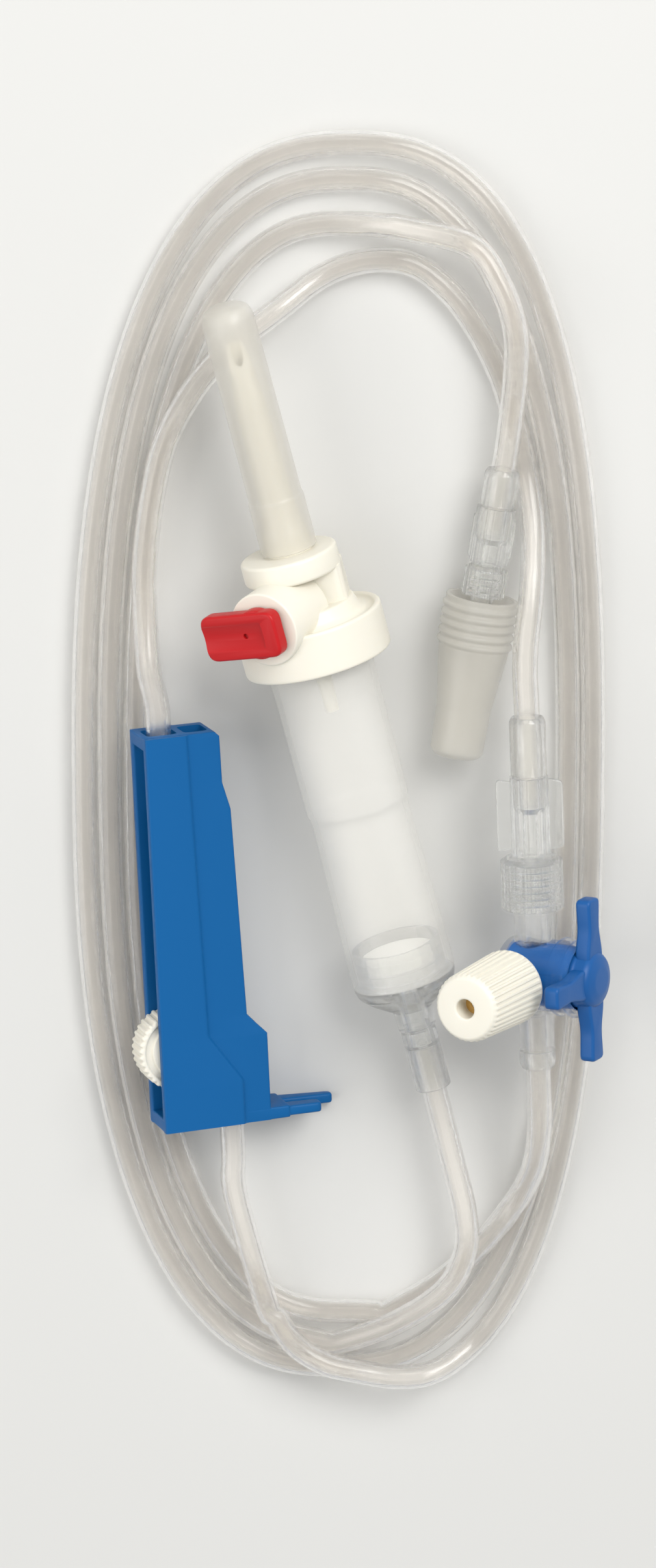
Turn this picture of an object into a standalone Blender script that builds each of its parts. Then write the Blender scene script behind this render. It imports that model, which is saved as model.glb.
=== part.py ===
"""Vented drip infusion set, lying flat with its tube coiled. Metres, +Z up, +Y towards the spike."""
import math
import bpy
import bmesh
import numpy as np
from mathutils import Matrix, Vector

MM = 0.001
GAP = 0.3 * MM          # clearance between two pieces that seat on each other
OVERRUN = 1.0 * MM      # how far a cutter passes the face that it opens
SEAM = 0.004 * MM       # points this close are one
REST = 0.05 * MM        # lift that keeps a resting edge off the ground

# Tube
TUBE_OD = 4.1 * MM
TUBE_R = TUBE_OD / 2
SOCKET_WALL = 0.55 * MM
SOCKET_R = TUBE_R + GAP + SOCKET_WALL

# Spike, chamber and collar, measured along their axis from the collar's lower rim, + towards the tip
COLLAR_R = 12.0 * MM
COLLAR_H = 7.3 * MM
COLLAR_WALL = 1.15 * MM
COLLAR_FLOOR = 3.4 * MM
FLANGE_Z = 14.6 * MM
FLANGE_H = 3.9 * MM
FLANGE_R = 8.4 * MM
BODY_R = 6.2 * MM
SPIKE_R = 2.75 * MM
SPIKE_LENGTH = 38.0 * MM
SPIKE_BEVEL = 11.0 * MM
CAP_LENGTH = 44.7 * MM
CAP_MOUTH_R = 5.3 * MM
CAP_TIP_R = 4.5 * MM
CAP_WALL = 0.9 * MM
CAP_RIM = 9.0 * MM
DOME = 0.6              # height of a sheath's round end over its radius
CHAMBER_TOP_R = 8.6 * MM
CHAMBER_WAIST_R = 8.0 * MM
CHAMBER_FOOT_R = 8.5 * MM
CHAMBER_WALL = 0.9 * MM
CHAMBER_RING = 26.0 * MM
CHAMBER_LENGTH = 55.5 * MM
FOOT_H = 9.0 * MM
OUTLET_R = 3.25 * MM
FILTER_H = 1.6 * MM
SOCKET_LENGTH = 10.4 * MM
SOCKET_SEAT = 3.0 * MM
DROP_FORMER_R = 1.1 * MM
DROP_FORMER_LENGTH = 12.0 * MM

# Vent boss on the collar, and its hinged cap
BOSS_R = 6.1 * MM
BOSS_REACH = 12.6 * MM
BOSS_Z = 9.6 * MM
BOSS_TURN = math.radians(58)
VENT_R = 3.6 * MM
VENT_DEPTH = 4.2 * MM
BREATH_R = 1.0 * MM
FLUID_WAY_R = 0.9 * MM
VENT_FILTER_H = 0.9 * MM
TAB_LENGTH = 14.1 * MM
TAB_WIDTH = 7.6 * MM
TAB_H = 2.6 * MM
TAB_OFF = 4.2 * MM
PLUG_H = 1.4 * MM
DISH_DEPTH = 0.5 * MM

# Where the set lies
CHAMBER_LEAN = math.radians(14.5)
COLLAR_AT = (-7.82 * MM, 8.54 * MM)

# Roller clamp: x from the channel's open edge to its back, y along it from the foot, z between its side walls
CLAMP_LENGTH = 66.0 * MM
CLAMP_T = 9.4 * MM
CLAMP_TOP_W = 12.6 * MM
CLAMP_MID_W = 14.9 * MM
CLAMP_FOOT_W = 18.2 * MM
CLAMP_STEP_Y = 17.0 * MM
CLAMP_NECK_Y = 57.5 * MM
CLAMP_SHOULDER_Y = 53.0 * MM
CLAMP_END_WALL = 2.2 * MM
CHANNEL_HALF = 2.95 * MM
TUBE_SLACK = 0.4 * MM
GROOVE_X = 3.5 * MM
GROOVE_W = 2.9 * MM
GROOVE_DEPTH = 0.75 * MM
BAND_TOP_W = 6.8 * MM
BAND_MID_W = 7.9 * MM
BAND_FOOT_W = 13.4 * MM
BAND_MID_Y = 15.5 * MM
BAND_FOOT_Y = 7.5 * MM
BAND_H = 0.45 * MM
TUBE_WAY_X = (1.0 * MM, 6.1 * MM)
POCKET_X = (7.2 * MM, 11.2 * MM)
ROLLER_R = 6.7 * MM
ROLLER_REST_Y = 13.2 * MM
ROLLER_TRAVEL = 38.0 * MM
ROLLER_TEETH = 24
TRUNNION_R = 1.25 * MM
TOOTH_H = 0.35 * MM
FLANGE_REACH = 21.4 * MM
FLANGE_T = 2.0 * MM
FLANGE_HALF = 3.4 * MM
FORK_REACH = 27.8 * MM
FORK_T = 1.0 * MM
FORK_SLOT = 3.4 * MM
FORK_LAG = 1.6 * MM
CLAMP_ROLL = math.radians(18)
CLAMP_YAW = math.radians(2.6)
CLAMP_AT = (-35.03 * MM, -70.06 * MM)

# Stopcock: x along its barrel towards the handle, y towards the line's port, z towards the capped port
BARREL_R = 5.9 * MM
BARREL_LEFT = 4.6 * MM
BARREL_RIGHT = 8.6 * MM
PLUG_R = 3.7 * MM
LIP_H = 0.45 * MM
LIP_W = 1.0 * MM
LIP_AT = (5.0 * MM, 7.5 * MM)
PORT_R = 3.2 * MM
PORT_BORE_R = 2.1 * MM
LINE_PORT_Y = 18.4 * MM
LUER_LUG_R = 3.85 * MM
SIDE_PORT_Z = 14.2 * MM
OUT_PORT_Y = 12.5 * MM
OUT_PORT_R = 2.95 * MM
OUT_SOCKET_LENGTH = 3.0 * MM
HANDLE_X = 8.95 * MM
HANDLE_T = 2.1 * MM
HANDLE_HUB_R = 4.6 * MM
HANDLE_HUB_H = 3.3 * MM
ARM_LENGTH = 13.5 * MM
ARM_W = 5.0 * MM
ARM_TIP_W = 3.9 * MM
STOPCOCK_ROLL = math.radians(30)
STOPCOCK_YAW = math.radians(2.2)
STOPCOCK_AT = (27.33 * MM, -43.66 * MM, 12.4 * MM)
LUER_CAP_R = 6.2 * MM
LUER_CAP_TIP_R = 5.6 * MM
LUER_CAP_LENGTH = 15.4 * MM
LUER_CAP_SEAT = 8.4 * MM
LUER_CAP_HOLE_R = 1.6 * MM
LUER_CAP_RIBS = 24
RIB_H = 0.35 * MM

# Male luer connectors, along their own axis from the shoulder that meets the port
NUT_R = 5.1 * MM
NUT_LENGTH = 8.4 * MM
NUT_WALL = 0.8 * MM
NUT_FLOOR = 0.9 * MM
NUT_SIDES = 28
NUT_BEHIND = 0.4 * MM
NUT_CLEARANCE = 0.25 * MM
PATIENT_NUT_CLEARANCE = 0.35 * MM
LINE_SHOULDER = GAP + 1.3 * MM
TUBE_SEAT = 4.6 * MM
CONE_R = 1.95 * MM
CONE_LENGTH = 7.2 * MM
STEM_R = 2.95 * MM
STEM_LENGTH = 12.9 * MM
STEM_SIDES = 32
WING_REACH = 5.4 * MM
WING_T = 1.1 * MM
WING_LENGTH = 12.0 * MM
SLEEVE_LENGTH = 9.6 * MM
PATIENT_STEM_LENGTH = 9.2 * MM
PATIENT_WING_LENGTH = 7.4 * MM
PATIENT_WING_REACH = 3.5 * MM
PATIENT_SLEEVE_LENGTH = 6.0 * MM
PATIENT_SLEEVE_R = 2.9 * MM
PATIENT_CONE_LENGTH = 9.0 * MM
PATIENT_NUT_R = 3.5 * MM
PATIENT_NUT_LENGTH = 5.0 * MM
END_CAP_LENGTH = 26.5 * MM
END_CAP_MOUTH_R = 6.2 * MM
END_CAP_TIP_R = 4.3 * MM
END_CAP_WALL = 0.9 * MM
END_CAP_RINGS = 5
PATIENT_AT = (15.93 * MM, 1.14 * MM)
PATIENT_LEAN = math.radians(9)

# Coil of tube: an oval ring one strand high
COIL_MIDDLE = (-4.67 * MM, -11.96 * MM)
COIL_HALF = (41.5 * MM, 104.4 * MM)
COIL_POWER = 2.5
COIL_BOW = 2.0 * MM
BUNDLE_LEFT = 8.4 * MM
BUNDLE_RIGHT = 4.3 * MM
BUNDLE_TOP = 12.8 * MM
BUNDLE_FOOT = 13.8 * MM
COIL_STATIONS = 64
COIL_H = TUBE_OD + GAP

# Routes of the tube where it isn't coiled, in millimetres
CHAMBER_TAIL = [(15.6, -80.8, 7.2), (18.4, -87.7, 7.2), (19.3, -92.4, 7.1), (18.4, -96.6, 7.0),
                (15.4, -100.0, 6.9),
                (11.2, -103.0, 6.9)]
CLAMP_TAIL = [(-4.6, -108.7, 6.9), (-11.2, -104.8, 6.9), (-16.6, -98.8, 6.9), (-20.2, -92.0, 6.9)]
LINE_TAIL = [(-36.2, 13.6, 7.6), (-35.9, 22.6, 6.9), (-34.8, 32.6, 6.9), (-32.5, 42.6, 6.9),
             (-28.0, 51.2, 6.9),
             (-21.8, 58.4, 6.8), (-14.4, 64.0, 5.2), (-7.4, 69.0, 2.6), (-0.6, 71.4, 2.1), (7.0, 71.0, 2.1),
             (13.0, 66.6, 2.1), (17.6, 60.4, 2.1), (21.4, 52.8, 2.1), (23.9, 44.6, 2.1), (25.7, 36.4, 2.5),
             (26.7, 28.2, 5.6), (26.4, 19.8, 9.9)]
EXTENSION_HEAD = [(28.4, -69.4, 12.1), (28.6, -75.4, 11.0), (27.4, -82.4, 8.6), (24.6, -88.8, 6.9)]
EXTENSION_TAIL = [(19.8, 76.2, 6.9), (24.0, 68.0, 7.6), (24.4, 59.6, 8.4), (23.4, 52.0, 7.4)]


def clear_scene():
    for thing in list(bpy.data.objects):
        bpy.data.objects.remove(thing, do_unlink=True)


def finish_of(name, color, roughness, alpha=1.0):
    """One plain Principled finish."""
    material = bpy.data.materials.new(name)
    material.use_nodes = True
    shader = material.node_tree.nodes["Principled BSDF"]
    shader.inputs["Base Color"].default_value = (*color, 1.0)
    shader.inputs["Roughness"].default_value = roughness
    shader.inputs["Metallic"].default_value = 0.0
    shader.inputs["Alpha"].default_value = alpha
    return material


IVORY = ((0.86, 0.83, 0.74), 0.45)
RED = ((0.62, 0.03, 0.03), 0.35)
BLUE = ((0.03, 0.17, 0.55), 0.4)
CLEAR = ((0.86, 0.88, 0.87), 0.15)
MILKY = ((0.88, 0.87, 0.83), 0.4)
VINYL = ((0.85, 0.84, 0.78), 0.25)
PAPER = ((0.9, 0.9, 0.88), 0.8)
FRAMES = {}


def frame_at(name, matrix):
    """An empty that carries a group of pieces."""
    empty = bpy.data.objects.new(name, None)
    bpy.context.collection.objects.link(empty)
    empty.matrix_world = matrix
    FRAMES[name] = empty
    return empty


def object_of(name, vertices, faces, finish=None):
    """A closed mesh object with its faces out."""
    mesh = bpy.data.meshes.new(name)
    mesh.from_pydata([tuple(v) for v in vertices], [], faces)
    shape = bmesh.new()
    shape.from_mesh(mesh)
    bmesh.ops.recalc_face_normals(shape, faces=shape.faces)
    shape.to_mesh(mesh)
    shape.free()
    mesh.shade_smooth()
    mesh.set_sharp_from_angle(angle=math.radians(32))
    thing = bpy.data.objects.new(name, mesh)
    bpy.context.collection.objects.link(thing)
    if finish:
        mesh.materials.append(finish_of(name, *finish))
    return thing


def turned(name, profile, finish=None, sides=40, ridge=None):
    """A closed profile of (radius, height) points turned about z; ridge adds to a radius."""
    vertices, rings = [], []
    for radius, height in profile:
        if radius < 1e-7:
            rings.append([len(vertices)])
            vertices.append((0.0, 0.0, height))
            continue
        rings.append(list(range(len(vertices), len(vertices) + sides)))
        for side in range(sides):
            angle = math.tau * side / sides
            r = radius + (ridge(angle, radius, height) if ridge else 0.0)
            vertices.append((r * math.cos(angle), r * math.sin(angle), height))
    faces = []
    pairs = list(zip(rings, rings[1:]))
    if len(rings[0]) > 1:
        pairs.append((rings[-1], rings[0]))
    for low, high in pairs:
        for side in range(sides):
            after = (side + 1) % sides
            if len(low) == 1 and len(high) == 1:
                break
            if len(low) == 1:
                faces.append((low[0], high[after], high[side]))
            elif len(high) == 1:
                faces.append((low[side], low[after], high[0]))
            else:
                faces.append((low[side], low[after], high[after], high[side]))
    return object_of(name, vertices, faces, finish)


def rod(name, radius, low, high, finish=None, sides=32):
    """A solid cylinder along z."""
    return turned(name, [(0, low), (radius, low), (radius, high), (0, high)], finish, sides)


def prism(name, outline, low, high, finish=None):
    """An outline of (x, y) points carried from low to high along z."""
    count = len(outline)
    vertices = [(x, y, low) for x, y in outline] + [(x, y, high) for x, y in outline]
    faces = [tuple(range(count)), tuple(range(count, 2 * count))]
    faces += [(i, (i + 1) % count, count + (i + 1) % count, count + i) for i in range(count)]
    return object_of(name, vertices, faces, finish)


def box(name, low, high):
    """A block between two corners."""
    (x0, y0, z0), (x1, y1, z1) = low, high
    return prism(name, [(x0, y0), (x1, y0), (x1, y1), (x0, y1)], z0, z1)


def arc(centre, radius, start, end, steps):
    """Points on an arc, angles in degrees."""
    angles = np.radians(np.linspace(start, end, steps))
    return [(centre[0] + radius * math.cos(a), centre[1] + radius * math.sin(a)) for a in angles]


def turn_to(thing, direction, at=(0, 0, 0)):
    """Sets a tool's z along a direction, at a point."""
    turn = Vector((0, 0, 1)).rotation_difference(Vector(direction)).to_matrix().to_4x4()
    thing.matrix_world = Matrix.Translation(Vector(at)) @ turn
    return thing


def combine(base, tool, kind):
    """Joins or cuts base by a tool, which stays as a hidden wire."""
    step = base.modifiers.new(f"{kind.lower()} {tool.name}", "BOOLEAN")
    step.operation = kind
    step.solver = "EXACT"
    step.object = tool
    tool.hide_render = True
    tool.display_type = "WIRE"
    tool.parent = base


def join(base, *tools):
    for tool in tools:
        combine(base, tool, "UNION")
    return base


def cut(base, *tools):
    for tool in tools:
        combine(base, tool, "DIFFERENCE")
    weld = base.modifiers.new("close seams", "WELD")
    weld.merge_threshold = SEAM
    return base


def carry(thing, frame, at=(0, 0, 0), direction=(0, 0, 1)):
    """Parents a piece to a frame, with its own z along a direction."""
    turn = Vector((0, 0, 1)).rotation_difference(Vector(direction)).to_matrix().to_4x4()
    thing.parent = FRAMES[frame]
    thing.matrix_parent_inverse = Matrix.Identity(4)
    thing.matrix_basis = Matrix.Translation(Vector(at)) @ turn
    return thing


def smooth_route(points, spacing):
    """Points a spacing apart on a Catmull-Rom curve through a route, computed as one array a span."""
    knots = np.array(points, float)
    padded = np.vstack([2 * knots[0] - knots[1], knots, 2 * knots[-1] - knots[-2]])
    t = np.linspace(0, 1, 24, endpoint=False)[:, None]
    spans = []
    for a, b, c, d in zip(padded, padded[1:], padded[2:], padded[3:]):
        square = 2 * a - 5 * b + 4 * c - d
        cube = 3 * b - a - 3 * c + d
        spans.append(0.5 * (2 * b + (c - a) * t + square * t**2 + cube * t**3))
    curve = np.vstack(spans + [knots[-1:]])
    run = np.concatenate([[0], np.cumsum(np.linalg.norm(np.diff(curve, axis=0), axis=1))])
    count = max(3, int(round(run[-1] / spacing)) + 1)
    even = np.linspace(0, run[-1], count)
    return np.column_stack([np.interp(even, run, curve[:, k]) for k in range(3)])


def tube(name, points, spacing=2.4 * TUBE_OD):
    """A plain solid length of tube along a route."""
    curve = bpy.data.curves.new(name, "CURVE")
    curve.dimensions = "3D"
    curve.bevel_depth = TUBE_R
    curve.bevel_resolution = 2
    curve.use_fill_caps = True
    path = smooth_route(points, spacing)
    line = curve.splines.new("POLY")
    line.points.add(len(path) - 1)
    for point, place in zip(line.points, path):
        point.co = (*place, 1.0)
    thing = bpy.data.objects.new(name, curve)
    bpy.context.collection.objects.link(thing)
    curve.materials.append(finish_of(name, *VINYL))
    return thing


def in_metres(route):
    return [tuple(MM * value for value in point) for point in route]


def chamber_frame():
    """The spike's axis: collar and chamber foot both rest on the ground."""
    rise = math.asin((COLLAR_R - CHAMBER_FOOT_R) / CHAMBER_LENGTH)
    axis = Vector((-math.sin(CHAMBER_LEAN) * math.cos(rise), math.cos(CHAMBER_LEAN) * math.cos(rise),
                   math.sin(rise)))
    left = Vector((-math.cos(CHAMBER_LEAN), -math.sin(CHAMBER_LEAN), 0))
    up = left.cross(axis)
    if up.z < 0:
        up = -up
    across = up.cross(axis)
    matrix = Matrix((across, up, axis)).transposed().to_4x4()
    matrix.translation = Vector((*COLLAR_AT, COLLAR_R * math.cos(rise) + REST))
    return matrix


def vent_direction():
    """The vent boss points left and up, square to the spike's axis."""
    matrix = FRAMES["chamber_frame"].matrix_world.to_3x3()
    side = -1.0 if (matrix @ Vector((1, 0, 0))).x > 0 else 1.0
    return Vector((side * math.cos(BOSS_TURN), math.sin(BOSS_TURN), 0))


def make_spike_body():
    """Spike, finger flange, neck, collar and vent boss, one moulding."""
    base_z = FLANGE_Z + FLANGE_H
    tip_z = base_z + SPIKE_LENGTH
    body = turned("spike_body", [
        (0, COLLAR_FLOOR), (COLLAR_R - COLLAR_WALL, COLLAR_FLOOR), (COLLAR_R - COLLAR_WALL, 0),
        (COLLAR_R - 0.2 * MM, 0),
        (COLLAR_R, 0.3 * MM), (COLLAR_R, COLLAR_H - 0.3 * MM), (COLLAR_R - 0.3 * MM, COLLAR_H),
        (COLLAR_R - COLLAR_WALL, COLLAR_H), (COLLAR_R - COLLAR_WALL, COLLAR_FLOOR + 1.2 * MM),
        (0, COLLAR_FLOOR + 1.2 * MM),
    ], IVORY, sides=36)
    neck = prism("neck_tool",
                 [(-BODY_R, -BODY_R * 0.8), (BODY_R, -BODY_R * 0.8), (BODY_R, BODY_R * 0.62),
                  (-BODY_R, BODY_R * 0.62)],
                 COLLAR_FLOOR + 0.4 * MM, FLANGE_Z + 0.5 * MM)
    ease = neck.modifiers.new("rounded edges", "BEVEL")
    ease.width = 1.6 * MM
    ease.segments = 2
    outline = arc((0, 0), FLANGE_R, -62, 242, 21)
    flange = prism("flange_tool", outline, FLANGE_Z, FLANGE_Z + FLANGE_H)
    ease = flange.modifiers.new("rounded edges", "BEVEL")
    ease.width = 0.7 * MM
    ease.segments = 2
    ease.limit_method = "ANGLE"
    shaft = turned("shaft_tool", [
        (0, FLANGE_Z + 1 * MM), (4.2 * MM, FLANGE_Z + 1 * MM), (4.1 * MM, base_z + 3.2 * MM),
        (3.3 * MM, base_z + 4.0 * MM),
        (SPIKE_R, base_z + 9 * MM), (SPIKE_R * 0.9, tip_z - SPIKE_BEVEL),
        (SPIKE_R * 0.62, tip_z - 2.5 * MM), (1.25 * MM, tip_z), (0, tip_z),
    ], sides=20)
    out = vent_direction()
    boss = turn_to(rod("boss_tool", BOSS_R, 2.0 * MM, BOSS_REACH, sides=28), out, (0, 0, BOSS_Z))
    join(body, neck, flange, shaft, boss)
    vent = turn_to(turned("vent_tool", [
        (0, BOSS_REACH - 2 * VENT_DEPTH), (BREATH_R, BOSS_REACH - 2 * VENT_DEPTH),
        (BREATH_R, BOSS_REACH - VENT_DEPTH), (VENT_R, BOSS_REACH - VENT_DEPTH),
        (VENT_R, BOSS_REACH + OVERRUN), (0, BOSS_REACH + OVERRUN)], sides=22), out, (0, 0, BOSS_Z))
    fluid = rod("fluid_tool", FLUID_WAY_R, -OVERRUN, tip_z + OVERRUN, sides=14)
    fluid.location = (0.13 * MM, -0.25 * MM, 0)
    fluid.rotation_euler.z = math.radians(7)
    slope = box("bevel_tool", (-8 * MM, 0, -20 * MM), (8 * MM, 12 * MM, 20 * MM))
    lean = Matrix.Rotation(math.atan2(SPIKE_R * 1.6, SPIKE_BEVEL), 4, "X")
    slope.matrix_world = Matrix.Translation(Vector((0, -0.6 * MM, tip_z))) @ lean
    pocket = prism("pocket_tool", [(2.2 * MM, -1.4 * MM), (4.6 * MM, -1.4 * MM), (4.6 * MM, 1.6 * MM)],
                   2.2 * MM, BODY_R)
    quarter = Matrix.Rotation(math.radians(-90), 4, "X")
    pocket.matrix_world = Matrix.Translation(Vector((0, 0, FLANGE_Z - 3 * MM))) @ quarter
    cut(body, slope, vent, fluid, pocket)
    return carry(body, "chamber_frame")


def make_spike_cap():
    """Tapered sheath with a round end and a thicker mouth."""
    low = FLANGE_Z + FLANGE_H + GAP
    high = low + CAP_LENGTH
    inner_r = CAP_TIP_R - CAP_WALL
    dome, inner_dome = [], []
    for a in np.radians(np.linspace(0, 84, 6)):
        dome.append((CAP_TIP_R * math.cos(a), high - CAP_TIP_R * DOME * (1 - math.sin(a))))
        inner_dome.append((inner_r * math.cos(a), high - CAP_WALL - inner_r * DOME * (1 - math.sin(a))))
    profile = [(CAP_MOUTH_R - 0.8 * MM, low), (CAP_MOUTH_R, low + 0.2 * MM), (CAP_MOUTH_R, low + CAP_RIM),
               (CAP_MOUTH_R - 0.3 * MM, low + CAP_RIM + 0.3 * MM)]
    profile += dome + [(0, high), (0, high - CAP_WALL)] + inner_dome[::-1]
    profile += [(CAP_MOUTH_R - 0.8 * MM, low + CAP_RIM)]
    return carry(turned("spike_cap", profile, MILKY, sides=28), "chamber_frame")


def make_vent_cap():
    """Red plug with a lift tab that lies over the vent, hinged at its end."""
    half = TAB_WIDTH / 2
    corner = 1.8 * MM
    left = TAB_OFF - TAB_LENGTH
    outline = [(TAB_OFF, -half + 1 * MM), (TAB_OFF, half - 1 * MM), (TAB_OFF - 1 * MM, half)]
    outline += arc((left + corner, half - corner), corner, 90, 180, 5)
    outline += arc((left + corner, -half + corner), corner, 180, 270, 5)
    outline += [(TAB_OFF - 1 * MM, -half)]
    cap = prism("vent_cap", outline, GAP, GAP + TAB_H, RED)
    ease = cap.modifiers.new("rounded edges", "BEVEL")
    ease.width = 0.35 * MM
    ease.segments = 2
    ease.limit_method = "ANGLE"
    rim = rod("rim_tool", VENT_R + 0.5 * MM, GAP, GAP + TAB_H * 0.75, sides=24)
    plug = rod("plug_tool", VENT_R - 2 * GAP, -PLUG_H, GAP + 0.6 * MM, sides=24)
    dish = turned("dish_tool", [(0, 0), (0.6 * TAB_WIDTH, 1.2 * MM), (0, 1.2 * MM)], sides=24)
    stretch = Matrix.Diagonal((1.3, 0.72, 1, 1))
    dish.matrix_world = Matrix.Translation(Vector((left * 0.42, 0, GAP + TAB_H - DISH_DEPTH))) @ stretch
    dimple = rod("dimple_tool", 0.45 * MM, GAP + TAB_H - 1.1 * MM, GAP + TAB_H + OVERRUN, sides=12)
    dimple.location = (left * 0.2, 0, 0)
    join(cap, rim, plug)
    cut(cap, dish, dimple)
    return cap


def vent_frame():
    """z out of the vent, x towards the hinge end of the tab."""
    base = FRAMES["chamber_frame"].matrix_world
    out = base.to_3x3() @ vent_direction()
    axis = base.to_3x3() @ Vector((0, 0, 1))
    across = axis.cross(out)
    if across.x < 0:
        across = -across
    along = out.cross(across)
    matrix = Matrix((across, along, out)).transposed().to_4x4()
    matrix.translation = base @ (Vector((0, 0, BOSS_Z)) + vent_direction() * BOSS_REACH)
    return matrix


def make_chamber():
    """Soft chamber, its foot with the fluid filter and outlet, and the drop former above."""
    wall = CHAMBER_WALL
    top = COLLAR_FLOOR - GAP
    low = -CHAMBER_LENGTH
    outside = [(CHAMBER_TOP_R, top), (CHAMBER_TOP_R, -1.5 * MM),
               (CHAMBER_WAIST_R + 0.35 * MM, -CHAMBER_RING + 1 * MM),
               (CHAMBER_WAIST_R, -CHAMBER_RING), (CHAMBER_WAIST_R, -CHAMBER_RING - 2 * MM),
               (CHAMBER_FOOT_R, low + 4 * MM), (CHAMBER_FOOT_R, low)]
    inside = [(radius - wall, height) for radius, height in reversed(outside)]
    carry(turned("drip_chamber", inside + outside, VINYL, sides=32), "chamber_frame")
    foot_top = low + 6.0 * MM
    inner = CHAMBER_FOOT_R - wall - GAP
    outlet = low - FOOT_H
    foot = [(CHAMBER_FOOT_R, low - GAP), (CHAMBER_FOOT_R - 0.4 * MM, low - 1.6 * MM),
            (OUTLET_R + 1.6 * MM, low - 4.4 * MM),
            (OUTLET_R, low - 5.6 * MM), (OUTLET_R - 0.2 * MM, outlet), (TUBE_R * 0.7, outlet),
            (TUBE_R * 0.7, low - 2 * MM),
            (inner - 1.2 * MM, low + 0.4 * MM), (inner - 1.2 * MM, low + 2.2 * MM),
            (inner - 0.8 * MM, low + 2.2 * MM),
            (inner - 0.8 * MM, foot_top), (inner, foot_top), (inner, low - GAP)]
    carry(turned("chamber_foot", foot, CLEAR, sides=28), "chamber_frame")
    seat = low + 2.2 * MM + GAP
    carry(rod("fluid_filter", inner - 0.8 * MM - GAP, seat, seat + FILTER_H, PAPER, sides=28),
          "chamber_frame")
    bore = TUBE_R + GAP
    socket_top = outlet - GAP
    socket_low = socket_top - SOCKET_LENGTH
    socket = [(SOCKET_R - 0.15 * MM, socket_top), (SOCKET_R, socket_top - 0.3 * MM),
              (SOCKET_R, socket_low), (bore, socket_low),
              (bore, socket_top - SOCKET_SEAT), (bore * 0.66, socket_top - SOCKET_SEAT + 0.4 * MM),
              (bore * 0.66, socket_top)]
    carry(turned("chamber_socket", socket, CLEAR, sides=24), "chamber_frame")
    former_top = COLLAR_FLOOR - GAP
    former = [(DROP_FORMER_R, former_top - DROP_FORMER_LENGTH),
              (DROP_FORMER_R * 1.25, former_top - 2 * MM), (3.4 * MM, former_top - 1.2 * MM),
              (3.4 * MM, former_top), (0.6 * MM, former_top), (0.6 * MM, former_top - DROP_FORMER_LENGTH)]
    former_piece = turned("drop_former", former, IVORY, sides=24)
    carry(former_piece, "chamber_frame")
    matrix = FRAMES["chamber_frame"].matrix_world
    start = matrix @ Vector((0, 0, socket_top - SOCKET_SEAT - GAP))
    after = matrix @ Vector((0, 0, socket_low - 3 * MM))
    return start, after


def clamp_outline(inset=0.0):
    """Side view of the clamp: open edge at x 0, stepped back at the right."""
    back = [(CLAMP_FOOT_W - inset, inset), (CLAMP_FOOT_W - inset, CLAMP_STEP_Y - 2.2 * MM),
            (CLAMP_MID_W + 1.6 * MM - inset, CLAMP_STEP_Y - 0.4 * MM),
            (CLAMP_MID_W - inset, CLAMP_STEP_Y + 1.4 * MM),
            (CLAMP_TOP_W + 1.3 * MM - inset, CLAMP_SHOULDER_Y),
            (CLAMP_TOP_W + 0.1 * MM - inset, CLAMP_NECK_Y), (CLAMP_TOP_W - inset, CLAMP_LENGTH - 0.8 * MM),
            (CLAMP_TOP_W - 0.8 * MM - inset, CLAMP_LENGTH - inset)]
    return [(0.0, inset)] + back + [(0.0, CLAMP_LENGTH - inset)]


def ramp_x(y):
    """Inner face of the back, which closes in on the roller towards the top."""
    foot = GROOVE_X + ROLLER_R + TUBE_OD + 0.7 * MM
    top = GROOVE_X + ROLLER_R + GAP + 0.2 * MM
    share = (y - ROLLER_REST_Y) / ROLLER_TRAVEL
    return foot + (top - foot) * min(max(share, 0.0), 1.0)


def clamp_channel():
    """The hollow between the side walls, closed at both ends, with the ramp as its floor."""
    low, high = CLAMP_END_WALL, CLAMP_LENGTH - CLAMP_END_WALL
    travel_end = ROLLER_REST_Y + ROLLER_TRAVEL
    outline = [(-OVERRUN, low), (ramp_x(0), low), (ramp_x(ROLLER_REST_Y), ROLLER_REST_Y),
               (ramp_x(travel_end), travel_end), (ramp_x(CLAMP_LENGTH), high), (-OVERRUN, high)]
    return prism("channel_tool", outline, -CHANNEL_HALF, CHANNEL_HALF)


def roller_grooves():
    """One block that cuts the trunnion groove into both side walls."""
    half = GROOVE_W / 2
    outline = [(GROOVE_X - half, ROLLER_REST_Y - half - GAP), (GROOVE_X + half, ROLLER_REST_Y - half - GAP),
               (GROOVE_X + half, ROLLER_REST_Y + ROLLER_TRAVEL + half + GAP),
               (GROOVE_X - half, ROLLER_REST_Y + ROLLER_TRAVEL + half + GAP)]
    return prism("groove_tool", outline, -CHANNEL_HALF - GROOVE_DEPTH, CHANNEL_HALF + GROOVE_DEPTH)


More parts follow.
